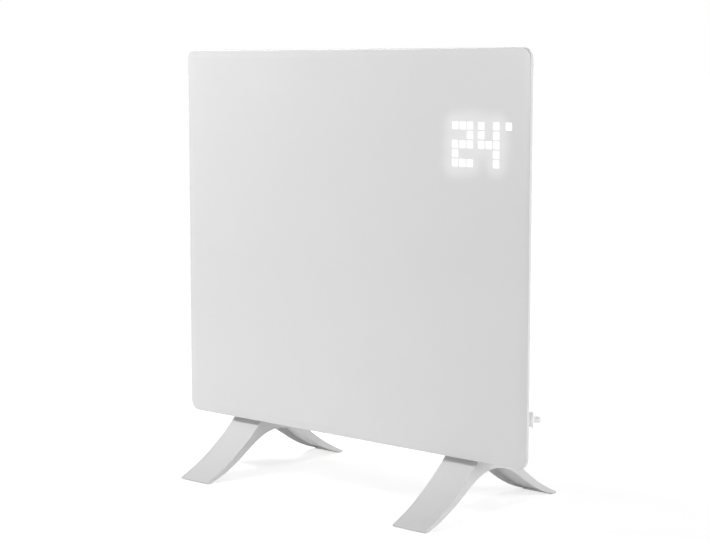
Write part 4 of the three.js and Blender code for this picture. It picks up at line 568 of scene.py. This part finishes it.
# Stacked steel sheets: a dull brown metal, striped by the edges of the sheets, which are drawn thicker
# than they are.
lamination, tree, shader, place = surface("stacked transformer steel", "#5A544E", 0.5, 1.0)
sheets = put(tree, "ShaderNodeTexWave", {
    "Vector": place, "Scale": WAVE_LENGTH * per_metre(CORE_SHEET)}, bands_direction="Y")
stacked = put(tree, "ShaderNodeBump", {
    "Height": sheets.outputs["Fac"], "Strength": 0.4, "Distance": CORE_SHEET_DEPTH / 1000})
tree.links.new(stacked.outputs[0], shader.inputs["Normal"])
finish_nodes(lamination, "transformer")

# ---------------------------------------------------------------- air sensor
# A temperature sensor cast in a bead of resin, held in a grey moulded clip on the carrier, in the cool
# air by the inlet.
RESIN_RUN = 3.3
RESIN_RUN_DEPTH = 0.5

# Cast epoxy: nearly black, with a wet shine and soft waves where it ran.
resin, tree, shader, place = surface("cast epoxy bead", "#1F1C19", 0.2)
runs = put(tree, "ShaderNodeTexNoise", {"Vector": place, "Scale": per_metre(RESIN_RUN)})
dripped = put(tree, "ShaderNodeBump", {
    "Height": runs.outputs["Fac"], "Strength": 0.1, "Distance": RESIN_RUN_DEPTH / 1000})
tree.links.new(dripped.outputs[0], shader.inputs["Normal"])
finish_nodes(resin, "room_sensor")

# ---------------------------------------------------------------- tip-over switch
# A brass pendulum on a plated pin, in a closed moulded housing. It swings and opens the contact when
# the heater leans.
TURNING_RING = 0.35
TURNING_RING_DEPTH = 0.1

# Turned brass: a warm yellow shine, with fine rings from the tool, drawn wider apart than they are.
brass, tree, shader, place = surface("turned brass", "#C8A152", 0.28, 1.0)
turning = put(tree, "ShaderNodeTexWave", {
    "Vector": place, "Scale": WAVE_LENGTH * per_metre(TURNING_RING)}, bands_direction="X")
turned_marks = put(tree, "ShaderNodeBump", {
    "Height": turning.outputs["Fac"], "Strength": 0.15, "Distance": TURNING_RING_DEPTH / 1000})
tree.links.new(turned_marks.outputs[0], shader.inputs["Normal"])
finish_nodes(brass, "tilt_pendulum")
finish_nodes(zinc, "tilt_pin")

# ---------------------------------------------------------------- inner wiring
# Leads in a heat-proof sleeve, from the gland and the switch to the box, and on to the element and the
# display.
SLEEVE_KNOT = 0.7
SLEEVE_KNOT_DEPTH = 0.3

# Braided glass fibre: pale grey and matt, with the small knots of the braid.
sleeving, tree, shader, place = surface("heat-proof wire sleeve", "#C9C9C6", 0.6)
braid = put(tree, "ShaderNodeTexVoronoi", {"Vector": place, "Scale": per_metre(SLEEVE_KNOT)})
braided = put(tree, "ShaderNodeBump", {
    "Height": braid.outputs["Distance"], "Strength": 0.3, "Distance": SLEEVE_KNOT_DEPTH / 1000})
tree.links.new(braided.outputs[0], shader.inputs["Normal"])
finish_nodes(sleeving, "mains_lead", "element_lead", "display_lead", "switch_lead")

# ---------------------------------------------------------------- rear casing
# One tray pressed from 1 mm steel: walls that slant in to the back, air slots above and below, louvres
# and hanger pads raised from the back. Six screws hold it on the carrier.
SHEET = 1.0
CUT = 2.0  # how far a cutting form reaches past what it cuts
FIT = 0.3
LEAST_STEP = 0.01  # rings closer than this are left out
TAPER = math.radians(37)
CASING_CORNER = 10.0
CASING_EDGE_ROUND = 5.0
SKIRT = 3.2
PAD_WIDTH = 58.0
PAD_HEIGHT = 34.0
PAD_CORNER = 6.0
PAD_RISE = 4.0
PAD_SIDE_INSET = 59.0
PAD_END_INSET = 30.0
HOOK_SLOT_LENGTH = 24.0
HOOK_SLOT_WIDTH = 3.0
SLOT_LENGTH = 40.0
SLOT_WIDTH = 6.0
SLOT_GAP = 10.0
SLOT_ROW_PITCH = 18.0
SLOT_MARGIN = 34.0
LOUVRE_LENGTH = 44.0
LOUVRE_HEIGHT = 9.0
LOUVRE_RISE = 3.2
LOUVRE_GAP = 14.0
LOUVRE_ROWS = 2
LOUVRE_ROW_PITCH = 17.0
LOUVRE_FIELD_DROP = 62.0
LOUVRE_FIELD_RISE = 84.0
SCREW_INSET = 13.0
SCREW_HEAD_RADIUS = 3.6
SCREW_HOLE_RADIUS = 2.0
GLAND_DEPTH = 1.5  # from the front to the back of the heater, whose middle is 0
GLAND_HEIGHT = 112.0
GLAND_SHANK_RADIUS = 6.0
SWITCH_LENGTH = 19.2
SWITCH_WIDTH = 12.8
SWITCH_CORNER = 0.5
SWITCH_FROM_BACK = 17.0
SWITCH_HEIGHT = 193.0
POWDER_WHITE = "#E9E9E7"
ORANGE_PEEL = 1.92
ORANGE_PEEL_DEPTH = 0.4
GLOSS_PATCH = 111.0

# Baked powder coat: white with a soft shine, broken up by a fine orange peel and uneven from place to
# place.
powder, tree, shader, place = surface("white powder coat", POWDER_WHITE, 0.42)
peel = put(tree, "ShaderNodeTexNoise", {
    "Vector": place, "Scale": per_metre(ORANGE_PEEL), "Detail": 2.0})
dimples = put(tree, "ShaderNodeBump", {
    "Height": peel.outputs["Fac"], "Strength": 0.12, "Distance": ORANGE_PEEL_DEPTH / 1000})
tree.links.new(dimples.outputs[0], shader.inputs["Normal"])
patches = put(tree, "ShaderNodeTexNoise", {
    "Vector": place, "Scale": per_metre(GLOSS_PATCH), "Detail": 2.0})
gloss = put(tree, "ShaderNodeMapRange", {
    "Value": patches.outputs["Fac"], "To Min": 0.36, "To Max": 0.48})
tree.links.new(gloss.outputs[0], shader.inputs["Roughness"])

casing_low, casing_high = (corner * 1000 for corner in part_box("rear_casing"))
rim_front = casing_low.y
wall_start = rim_front + SKIRT
back_face = casing_high.y - PAD_RISE


def wall_shift(y, slant, offset):
    """How far a wall has come in from the rim at a depth, for a surface inside the skin by an offset."""
    def line(at):
        return max(0.0, at - wall_start) * math.tan(slant) + offset / math.cos(slant)

    radius = CASING_EDGE_ROUND - offset
    centre = back_face - offset - radius
    touch = centre + radius * math.sin(slant)
    if y <= touch:
        return line(y)
    rise = min(1.0, (y - centre) / radius)
    return line(touch) + radius * (math.cos(slant) - math.sqrt(max(0.0, 1 - rise * rise)))


def casing_ring(y, offset, steps=10):
    """The casing's outline at a depth."""
    side, base = wall_shift(y, TAPER, offset), wall_shift(y, 0.0, offset)
    outline = rounded_outline(casing_low.x + side, casing_high.x - side, casing_low.z + base,
                              casing_high.z - side, CASING_CORNER - offset, steps)
    return [(x, y, z) for x, z in outline]


def casing_form(start, end, offset):
    """The casing's form, or one inside it, between two depths."""
    radius = CASING_EDGE_ROUND - offset
    centre = back_face - offset - radius
    angles = [0] + [TAPER * i / 4 for i in range(1, 4)]
    angles += [TAPER + (math.pi / 2 - TAPER) * i / 7 for i in range(8)]
    depths = [wall_start] + [centre + radius * math.sin(a) for a in angles]
    between = sorted(d for d in depths if start + LEAST_STEP < d < end - LEAST_STEP)
    return lofted([casing_ring(d, offset) for d in [start, *between, end]])


def carve(thing, forms, operation="DIFFERENCE"):
    """Cuts forms out of a piece, joins them to it, or keeps what is common to both."""
    tool = piece("tool", forms, None)
    step = thing.modifiers.new("carve", "BOOLEAN")
    step.operation = operation
    step.object = tool
    step.solver = "MANIFOLD"
    made = bpy.data.meshes.new_from_object(
        thing.evaluated_get(bpy.context.evaluated_depsgraph_get()))
    thing.modifiers.clear()
    thing.data = made
    bpy.data.objects.remove(tool)
    return thing


def moved(form, matrix):
    """A form's points taken through a matrix."""
    points, faces = form
    return [tuple(matrix @ Vector(p)) for p in points], faces


def copies(form, places):
    """Copies of a form, set at places across the back."""
    return [moved(form, Matrix.Translation((x, 0, z))) for x, z in places]


def obround(length, width, low, high, steps=8):
    """A long form with round ends along X, between two heights."""
    half_length, radius = (length - width) / 2, width / 2
    outline = []
    for centre, start in ((half_length, -90), (-half_length, 90)):
        for i in range(steps + 1):
            angle = math.radians(start + 180 * i / steps)
            outline.append((centre + radius * math.cos(angle), radius * math.sin(angle)))
    return lofted([[(x, y, z) for x, y in outline] for z in (high, low)])


def spread(room, length, gap):
    """The middles of as many equal items as fit a length, centred on zero."""
    count = max(1, math.floor((room + gap) / (length + gap)))
    return [(i - (count - 1) / 2) * (length + gap) for i in range(count)]


def louvre(inset, length, steps=9):
    """A louvre raised from the back, open along its lower edge, about its own middle."""
    face = back_face - inset
    root = back_face - SHEET - (CUT if inset else 0)
    low = -LOUVRE_HEIGHT / 2 - inset
    profile = [(root, LOUVRE_HEIGHT / 2)]
    profile += [(face + LOUVRE_RISE * math.sin(math.pi / 2 * i / steps),
                 LOUVRE_HEIGHT * (0.5 - i / steps)) for i in range(steps)]
    profile += [(face + LOUVRE_RISE, low), (root, low)]
    return lofted([[(x, y, z) for y, z in profile] for x in (-length / 2, length / 2)])


def pad(inset, root, steps=6):
    """The raised pad that a bracket's tongue hooks into, about its own middle."""
    def outline(grow, y):
        half_width, half_height = PAD_WIDTH / 2 + grow - inset, PAD_HEIGHT / 2 + grow - inset
        corner = PAD_CORNER + grow - inset
        return [(x, y, z) for x, z in
                rounded_outline(-half_width, half_width, -half_height, half_height, corner, steps)]

    slope = PAD_RISE / 2
    return lofted([outline(slope, root), outline(slope, back_face - inset),
                   outline(0, back_face + PAD_RISE - inset)])


back_half = casing_high.x - wall_shift(back_face, TAPER, 0)
back_top = casing_high.z - wall_shift(back_face, TAPER, 0)
back_bottom = casing_low.z + wall_shift(back_face, 0.0, 0)

# The inlet slots lie between the feet, and the louvres between the columns of back screws.
foot_left, foot_right = (corner.x * 1000 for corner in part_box("right_foot"))
foot_middle, foot_half_width = (foot_left + foot_right) / 2, (foot_right - foot_left) / 2
louvre_room = 2 * (back_half - SCREW_INSET - SCREW_HEAD_RADIUS - LOUVRE_GAP)
louvre_rows = [start - row * LOUVRE_ROW_PITCH
               for start in (back_top - LOUVRE_FIELD_DROP, casing_low.z + LOUVRE_FIELD_RISE)
               for row in range(LOUVRE_ROWS)]
louvres = [(x, z) for z in louvre_rows for x in spread(louvre_room, LOUVRE_LENGTH, LOUVRE_GAP)]
pad_side = back_half - PAD_SIDE_INSET
pads = [(x, z) for z in (back_bottom + PAD_END_INSET, back_top - PAD_END_INSET)
        for x in (-pad_side, pad_side)]

shell = piece("rear_casing_shell", [casing_form(rim_front, back_face, 0)], powder,
              "heater", ["rear_casing"])
carve(shell, [casing_form(rim_front - CUT, back_face - SHEET, SHEET)])
carve(shell, copies(louvre(0, LOUVRE_LENGTH), louvres), "UNION")
carve(shell, copies(pad(0, back_face - SHEET), pads), "UNION")
carve(shell, copies(louvre(SHEET, LOUVRE_LENGTH - 2 * SHEET), louvres))
carve(shell, copies(pad(SHEET, back_face - SHEET - CUT), pads))

middle_y = (wall_start + back_face) / 2
slot_rows = (-SLOT_ROW_PITCH / 2, SLOT_ROW_PITCH / 2)
cut_low, cut_high = -SHEET - CUT, CUT
slot = obround(SLOT_LENGTH, SLOT_WIDTH, cut_low, cut_high)
openings = []
for row in slot_rows:
    for x in spread(2 * (back_half - SLOT_MARGIN) + CASING_EDGE_ROUND, SLOT_LENGTH, SLOT_GAP):
        z = casing_high.z - wall_shift(middle_y + row, TAPER, 0)
        slant = Matrix.Rotation(-TAPER, 4, "X")
        openings.append(moved(slot, Matrix.Translation((x, middle_y + row, z)) @ slant))
    for x in spread(2 * (foot_middle - foot_half_width - SLOT_GAP), SLOT_LENGTH, SLOT_GAP):
        openings.append(moved(slot, Matrix.Translation((x, middle_y + row, casing_low.z))
                              @ Matrix.Rotation(math.pi, 4, "X")))
hook_outline = rounded_outline(-HOOK_SLOT_LENGTH / 2, HOOK_SLOT_LENGTH / 2, -HOOK_SLOT_WIDTH / 2,
                               HOOK_SLOT_WIDTH / 2, HOOK_SLOT_WIDTH / 3, 4)
hook_slot = [[(x, y, z) for x, z in hook_outline] for y in (back_face, back_face + PAD_RISE + CUT)]
openings += copies(lofted(hook_slot), pads)
carve(shell, openings)

# Holes for the gland and the switch in the right wall, and for the screws in the back.
out = Vector((math.cos(TAPER), math.sin(TAPER), 0))
up_slant = Vector((-math.sin(TAPER), math.cos(TAPER), 0))


def on_right_wall(y, z):
    """A place on the right wall: Z points out of the wall, Y up its slant to the back, X down."""
    x = casing_high.x - wall_shift(y, TAPER, 0)
    return Matrix(((0, up_slant.x, out.x, x), (0, up_slant.y, out.y, y), (-1, 0, 0, z), (0, 0, 0, 1)))


def disc(radius, sides):
    """The points of a circle."""
    return [(radius * math.cos(2 * math.pi * i / sides), radius * math.sin(2 * math.pi * i / sides))
            for i in range(sides)]


def bar(radius, low, high, sides=24):
    """A round bar along Z."""
    return lofted([[(x, y, z) for x, y in disc(radius, sides)] for z in (high, low)])


def plate(length, width, corner, heights, steps=2):
    """A form with rounded corners about Z, through heights listed from the top down."""
    outline = rounded_outline(-length / 2, length / 2, -width / 2, width / 2, corner, steps)
    return lofted([[(x, y, z) for x, y in outline] for z in heights])


gland_place = on_right_wall(GLAND_DEPTH, GLAND_HEIGHT)
gland_hole = bar(GLAND_SHANK_RADIUS + FIT, cut_low, cut_high)
switch_place = on_right_wall(back_face - SWITCH_FROM_BACK, SWITCH_HEIGHT)
switch_hole = plate(SWITCH_LENGTH + 2 * FIT, SWITCH_WIDTH + 2 * FIT, SWITCH_CORNER,
                    (cut_high, cut_low))
carve(shell, [moved(gland_hole, gland_place), moved(switch_hole, switch_place)])
screw_side = back_half - SCREW_INSET
screw_rows = (back_bottom + SCREW_INSET, (back_bottom + back_top) / 2, back_top - SCREW_INSET)
screw_places = [(x, z) for z in screw_rows for x in (-screw_side, screw_side)]
lay_back = Matrix.Rotation(-math.pi / 2, 4, "X")
screw_hole = bar(SCREW_HOLE_RADIUS, cut_low, cut_high, 16)
carve(shell, [moved(screw_hole, Matrix.Translation((x, back_face, z)) @ lay_back)
              for x, z in screw_places])
smooth(shell, 28)

# ---------------------------------------------------------------- back screws
# Pan-head steel screws with a cross recess, cold-headed and rolled, that go through the back into the
# carrier's pillars.
SCREW_RADIUS = 1.6
SCREW_POINT = 1.5
SCREW_HEAD_HEIGHT = 2.2
SCREW_HEAD_RIM = 0.35 * SCREW_HEAD_HEIGHT
RECESS_LENGTH = 4.2
RECESS_WIDTH = 0.7
RECESS_FLOOR = 0.45 * SCREW_HEAD_HEIGHT
BACK_SCREW_LENGTH = 16.0
PLATING_WEAR = 1.25

# Zinc plating on steel: a clear, cool shine, dulled in small spots by handling.
plated, tree, shader, place = surface("zinc-plated screw steel", "#B4B6B3", 0.3, 1.0)
wear = put(tree, "ShaderNodeTexNoise", {
    "Vector": place, "Scale": per_metre(PLATING_WEAR), "Detail": 3.0})
worn = put(tree, "ShaderNodeMapRange", {"Value": wear.outputs["Fac"], "To Min": 0.22, "To Max": 0.42})
tree.links.new(worn.outputs[0], shader.inputs["Roughness"])


def turned(profile, sides=32):
    """A form turned about Z from a profile of radius and height, the low end first."""
    rings = [[(x, y, height) for x, y in disc(max(radius, 0.01), sides)] for radius, height in profile]
    return lofted(rings[::-1])


def screw_piece(name, place, length, node):
    """A screw whose head bears on the plane z 0 of its place, with a cross recess in the head."""
    rise = SCREW_HEAD_HEIGHT - SCREW_HEAD_RIM
    dome = [(SCREW_HEAD_RADIUS * math.cos(a), SCREW_HEAD_RIM + rise * math.sin(a))
            for a in (math.radians(d) for d in (0, 15, 30, 45, 60, 75, 88))]
    body = turned([(0.3, -length), (SCREW_RADIUS, SCREW_POINT - length), (SCREW_RADIUS, FIT),
                   (SCREW_HEAD_RADIUS, FIT), *dome], 24)
    made = piece(name, [body], plated)
    for arm in ((RECESS_LENGTH, RECESS_WIDTH), (RECESS_WIDTH, RECESS_LENGTH)):
        carve(made, [plate(*arm, 0.15, (SCREW_HEAD_HEIGHT + 1, RECESS_FLOOR), 1)])
    made.data.transform(Matrix.Scale(0.001, 4) @ place @ Matrix.Scale(1000, 4))
    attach(made, "heater")
    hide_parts(node)
    return smooth(made)


for i, (x, z) in enumerate(screw_places):
    place = Matrix.Translation((x, back_face, z)) @ lay_back
    screw_piece(f"rear_screw_{i + 1}", place, BACK_SCREW_LENGTH, f"back_screw_{i + 1}")

# ---------------------------------------------------------------- cord gland
# A white moulded gland, pushed through the right wall: a thread, a collar and a round-nosed sleeve. A
# black lock nut holds it on the inside.
NYLON_CLOUD = 3.85
GLAND_BORE_RADIUS = 1.9
GLAND_BORE_LOW = 3.0
GLAND_BORE_HIGH = 17.0
GLAND_NOSE_RADIUS = 3.5
GLAND_TIP = 14.8
GLAND_MOUTH = 14.7
# Radius and height above the wall of each corner, from the end of the thread to the sleeve.
GLAND_PROFILE = (
    (5.6, -10), (6, -9.4), (6, 0.3), (8.0, 0.3), (8.2, 0.5), (8.2, 3.0), (8.9, 3.2), (9, 3.4), (9, 5.2),
    (8.85, 5.6), (8.5, 5.9), (8.1, 6), (4.3, 6), (3.9, 6.15), (3.6, 6.5), (3.5, 7),
)

# Moulded nylon: whiter than the feet, with a waxy shine that is faintly clouded.
nylon, tree, shader, place = surface("natural white nylon", "#F4F4F4", 0.4)
wax = put(tree, "ShaderNodeTexNoise", {
    "Vector": place, "Scale": per_metre(NYLON_CLOUD), "Detail": 2.0})
dulled = put(tree, "ShaderNodeMapRange", {
    "Value": wax.outputs["Fac"], "To Min": 0.34, "To Max": 0.46})
tree.links.new(dulled.outputs[0], shader.inputs["Roughness"])

nose_start = GLAND_TIP - GLAND_NOSE_RADIUS
nose = [(GLAND_NOSE_RADIUS * math.cos(a), nose_start + GLAND_NOSE_RADIUS * math.sin(a))
        for a in (math.radians(d) for d in range(0, 66, 8))]
gland_form = turned([*GLAND_PROFILE, *nose, (GLAND_BORE_RADIUS, GLAND_MOUTH)], 48)
gland = piece("moulded_gland", [moved(gland_form, gland_place)], nylon, "heater",
              ["cord_gland"])
carve(gland, [moved(bar(GLAND_BORE_RADIUS, GLAND_BORE_LOW, GLAND_BORE_HIGH), gland_place)])
smooth(gland, 35)
finish_nodes(black_moulding, "gland_nut")

# ---------------------------------------------------------------- mains switch
# A snap-in rocker switch: a white frame with a thin flange, and a white rocker that turns in it. The
# rocker rides on its own body.
SATIN_GRAIN = 0.91
FLOW_MARK = 71.4
SWITCH_FLANGE = 1.25
SWITCH_FLANGE_CORNER = 1.0
SWITCH_NECK_PLAY = 0.05
SWITCH_NECK_TOP = 0.7
SWITCH_WALL = 1.2
SWITCH_WELL_CORNER = 0.4
SWITCH_REACH = 12.6
FLANGE_PROFILE = ((0.35, 1.35), (0.1, 1.2), (0, 0.95), (0, 0.3))  # moved in by, and height

# Moulded ABS: white with a satin shine that changes a little from place to place, as the plastic flowed.
# Its colour is set a light grey, darker than the white moulding is, as painted shade. Its grain is drawn
# coarser than it is.
satin_white_painted_shade, tree, shader, place = moulded("satin white moulded ABS", "#D9D9D9", 0.42, SATIN_GRAIN, 0.1)
flow = put(tree, "ShaderNodeTexNoise", {
    "Vector": place, "Scale": per_metre(FLOW_MARK), "Detail": 2.0})
satin = put(tree, "ShaderNodeMapRange", {
    "Value": flow.outputs["Fac"], "To Min": 0.42, "To Max": 0.54})
tree.links.new(satin.outputs[0], shader.inputs["Roughness"])

half_length, half_width = SWITCH_LENGTH / 2 + SWITCH_FLANGE, SWITCH_WIDTH / 2 + SWITCH_FLANGE
flange = [[(x, y, z) for x, y in
           rounded_outline(inset - half_length, half_length - inset, inset - half_width,
                           half_width - inset, SWITCH_FLANGE_CORNER, 5)]
          for inset, z in FLANGE_PROFILE]
neck = plate(SWITCH_LENGTH - 2 * SWITCH_NECK_PLAY, SWITCH_WIDTH - 2 * SWITCH_NECK_PLAY, SWITCH_CORNER,
             (SWITCH_NECK_TOP, -SWITCH_REACH))
well = plate(SWITCH_LENGTH - 2 * SWITCH_WALL, SWITCH_WIDTH - 2 * SWITCH_WALL, SWITCH_WELL_CORNER,
             (2 * CUT, SWITCH_WALL - SWITCH_REACH))
# The frame and the rocker take the same greyed white, whose grey is painted shade.
switch_frame = piece("switch_bezel", [moved(lofted(flange), switch_place)], satin_white_painted_shade,
                     "heater", ["switch_frame"])
carve(switch_frame, [moved(neck, switch_place)], "UNION")
carve(switch_frame, [moved(well, switch_place)])
smooth(switch_frame, 35)
finish_nodes(satin_white_painted_shade, "switch_rocker")

# The generic marks for on and off are pad-printed on the rocker in grey ink: a bar on the half that is
# pressed in, and a ring on the half that stands out. The ink is matt beside the moulding.
ROCKER_PIVOT_DROP = 3.2
ROCKER_CROWN = 3.6
ROCKER_HALF = 7.78
ROCKER_TILT = math.radians(6)
INK_HEIGHT = 0.08
INK_SUNK = 0.1
BAR_LENGTH, BAR_WIDTH = 3.6, 0.8
RING_RADIUS, RING_HOLE = 1.9, 1.15

ink, tree, shader, place = surface("grey pad-printing ink", "#6F7274", 0.6)
rocker_place = (switch_place @ Matrix.Translation((0, 0, -ROCKER_PIVOT_DROP))
                @ Matrix.Rotation(ROCKER_TILT, 4, "Y"))
middle = ROCKER_CROWN + 0.5 * ROCKER_HALF * math.tan(ROCKER_TILT)
pressed = (rocker_place @ Matrix.Translation((ROCKER_HALF / 2, 0, middle))
           @ Matrix.Rotation(-ROCKER_TILT, 4, "Y"))
raised = (rocker_place @ Matrix.Translation((-ROCKER_HALF / 2, 0, middle))
          @ Matrix.Rotation(ROCKER_TILT, 4, "Y"))
on_form = plate(BAR_LENGTH, BAR_WIDTH, 0.3, (INK_HEIGHT, -INK_SUNK), 3)
piece("rocker_on_mark", [moved(on_form, pressed)], ink, "rocker")
off_mark = piece("rocker_off_mark", [moved(bar(RING_RADIUS, -INK_SUNK, INK_HEIGHT), raised)], ink,
                 "rocker")
carve(off_mark, [moved(bar(RING_HOLE, -1, 1), raised)])

# ---------------------------------------------------------------- feet
# Each foot is one hollow moulding in satin white, open below: a channel whose top sweeps down from its
# seat under the casing to a thin tip at the front and the back, over an arched underside.
FOOT_WALL = 2.6
FOOT_CROWN = 17.2
FOOT_TIP = 3.0
FOOT_LAND = 5.0
FOOT_LIFT = 0.6
FOOT_EDGE = 0.9
FOOT_TIP_CORNER = 1.5
FOOT_NOSE = 1.0
FOOT_SEAT_INSET = 6.5
FOOT_SWEEP_PULL = (0.45, 0.67)  # where the sweep bends, as shares of its run and of its fall
FOOT_ARCH_PULL = (0.5, 0.3)  # where the arch leaves the tip, as shares of its reach and height
FOOT_CROWN_PULL = 0.35  # where it levels out under the crown, as a share of its reach
FOOT_SCREW_SPACING = 26.0
FOOT_BOSS_RADIUS = 5.5
FOOT_BOSS_HEIGHT = 12.0
FOOT_RIB = 2.0

foot_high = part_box("right_foot")[1] * 1000
foot_half, foot_top = foot_high.y, foot_high.z
seat_end = -glass_high.y * 1000 - FOOT_SEAT_INSET


def curve(points, steps):
    """Points along a Bezier curve, from its control points."""
    made = []
    for i in range(steps + 1):
        t = i / steps
        level = [Vector(p) for p in points]
        while len(level) > 1:
            level = [a.lerp(b, t) for a, b in zip(level, level[1:])]
        made.append(tuple(level[0]))
    return made


def foot_sweep(wall, steps=28):
    """The sweep of a foot's top from its seat to the tip, moved in by a wall, as depth and height."""
    start = Vector((seat_end, foot_top))
    end = Vector((foot_half - FOOT_NOSE, FOOT_TIP))
    out, down = FOOT_SWEEP_PULL
    bend = Vector((start.x + out * (end.x - start.x), start.y + down * (end.y - start.y)))
    line = curve([start, bend, end], steps)
    made = []
    for i, (y, z) in enumerate(line):
        ahead, behind = line[min(i + 1, steps)], line[max(i - 1, 0)]
        run = (Vector(ahead) - Vector(behind)).normalized()
        made.append((y + run.y * wall, z - run.x * wall))
    return made


def foot_arch(steps=28):
    """The arch under a foot, from the tip to its crown."""
    crown, start = foot_top - FOOT_CROWN, foot_half - FOOT_LAND
    out, up = FOOT_ARCH_PULL
    return curve([(start, FOOT_LIFT), (out * start, FOOT_LIFT + up * (crown - FOOT_LIFT)),
                  (FOOT_CROWN_PULL * start, crown), (0, crown)], steps)


def sweep_height(wall, y):
    """The height of the sweep, moved in by a wall, at a depth."""
    points = foot_sweep(wall)
    for before, after in zip(points, points[1:]):
        if after[0] >= y:
            return before[1] + (after[1] - before[1]) * (y - before[0]) / (after[0] - before[0])
    return points[-1][1]


def channel(half_line, half_width):
    """A form along X from half an outline, listed from the middle of its top to the middle below."""
    whole = half_line + [(-y, z) for y, z in half_line[::-1] if y > 1e-6]
    return lofted([[(x, y, z) for y, z in whole] for x in (-half_width, half_width)])


outer_line = [(0, foot_top), *foot_sweep(0), (foot_half - 0.3 * FOOT_NOSE, FOOT_TIP - 0.5 * FOOT_NOSE),
              (foot_half, FOOT_TIP - 1.2 * FOOT_NOSE), (foot_half, FOOT_LIFT), *foot_arch()]
roof = foot_top - FOOT_WALL
tip_inside = foot_half - FOOT_WALL
first, second = foot_sweep(FOOT_WALL, 10)[:2]
roof_end = first[0] + (second[0] - first[0]) * (first[1] - roof) / (first[1] - second[1])
hollow_line = [(0, roof), (roof_end, roof)]
hollow_line += [(y, z) for y, z in foot_sweep(FOOT_WALL)
                if roof_end < y < tip_inside and z < roof - LEAST_STEP]
hollow_line += [(tip_inside, sweep_height(FOOT_WALL, tip_inside)), (tip_inside, -CUT), (0, -CUT)]

foot_screw_rows = (-FOOT_SCREW_SPACING / 2, FOOT_SCREW_SPACING / 2)
boss_low, boss_high = foot_top - FOOT_BOSS_HEIGHT, foot_top - FOOT_WALL / 2
rib_half = foot_half_width - FOOT_WALL / 2
rib_corners = [(x * rib_half, y * FOOT_RIB / 2) for x, y in ((-1, -1), (1, -1), (1, 1), (-1, 1))]

for side, word in ((-1, "left"), (1, "right")):
    # The light grey of each foot is painted shade over a white moulding.
    foot = piece(f"{word}_moulded_foot", [channel(outer_line, foot_half_width)], satin_white_painted_shade)
    plan = plate(2 * foot_half_width, 2 * foot_half, FOOT_TIP_CORNER, (foot_top + CUT, -CUT), 4)
    carve(foot, [plan], "INTERSECT")
    soft = foot.modifiers.new("edge", "BEVEL")
    soft.width = FOOT_EDGE / 1000
    soft.segments = 3
    soft.limit_method = "ANGLE"
    soft.angle_limit = math.radians(50)
    carve(foot, [channel(hollow_line, foot_half_width - FOOT_WALL)])
    rows = [Matrix.Translation((0, y, 0)) for y in foot_screw_rows]
    rib = lofted([[(x, y, z) for x, y in rib_corners] for z in (boss_high, boss_low)])
    carve(foot, [moved(bar(FOOT_BOSS_RADIUS, boss_low, boss_high), row) for row in rows], "UNION")
    carve(foot, [moved(rib, row) for row in rows], "UNION")
    carve(foot, [moved(bar(SCREW_HOLE_RADIUS, 0, foot_top + CUT, 16), row) for row in rows])
    foot.data.transform(Matrix.Translation((side * foot_middle / 1000, 0, 0)))
    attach(foot, "heater")
    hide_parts(f"{word}_foot")
    smooth(foot, 32)

# ---------------------------------------------------------------- foot pads and foot screws
# Rubber pads pressed into the tips of the feet, and two zinc-plated screws a foot, up through its
# bosses into the casing.
RUBBER_GRAIN = 0.77
FOOT_SCREW_LENGTH = 20.0

# Moulded rubber: pale grey and quite matt. Its grain is drawn coarser than it is.
rubber = moulded("pale moulded rubber", "#CFCFCC", 0.82, RUBBER_GRAIN, 0.3)[0]
finish_nodes(rubber, *(f"foot_pad_{a}_{b}" for a in ("left", "right") for b in ("front", "rear")))

for side, word in ((-1, "left"), (1, "right")):
    for y, end in zip(foot_screw_rows, ("front", "rear")):
        place = Matrix.Translation((side * foot_middle, y, boss_low)) @ Matrix.Rotation(math.pi, 4, "X")
        screw_piece(f"{word}_{end}_foot_screw", place, FOOT_SCREW_LENGTH, f"foot_screw_{word}_{end}")
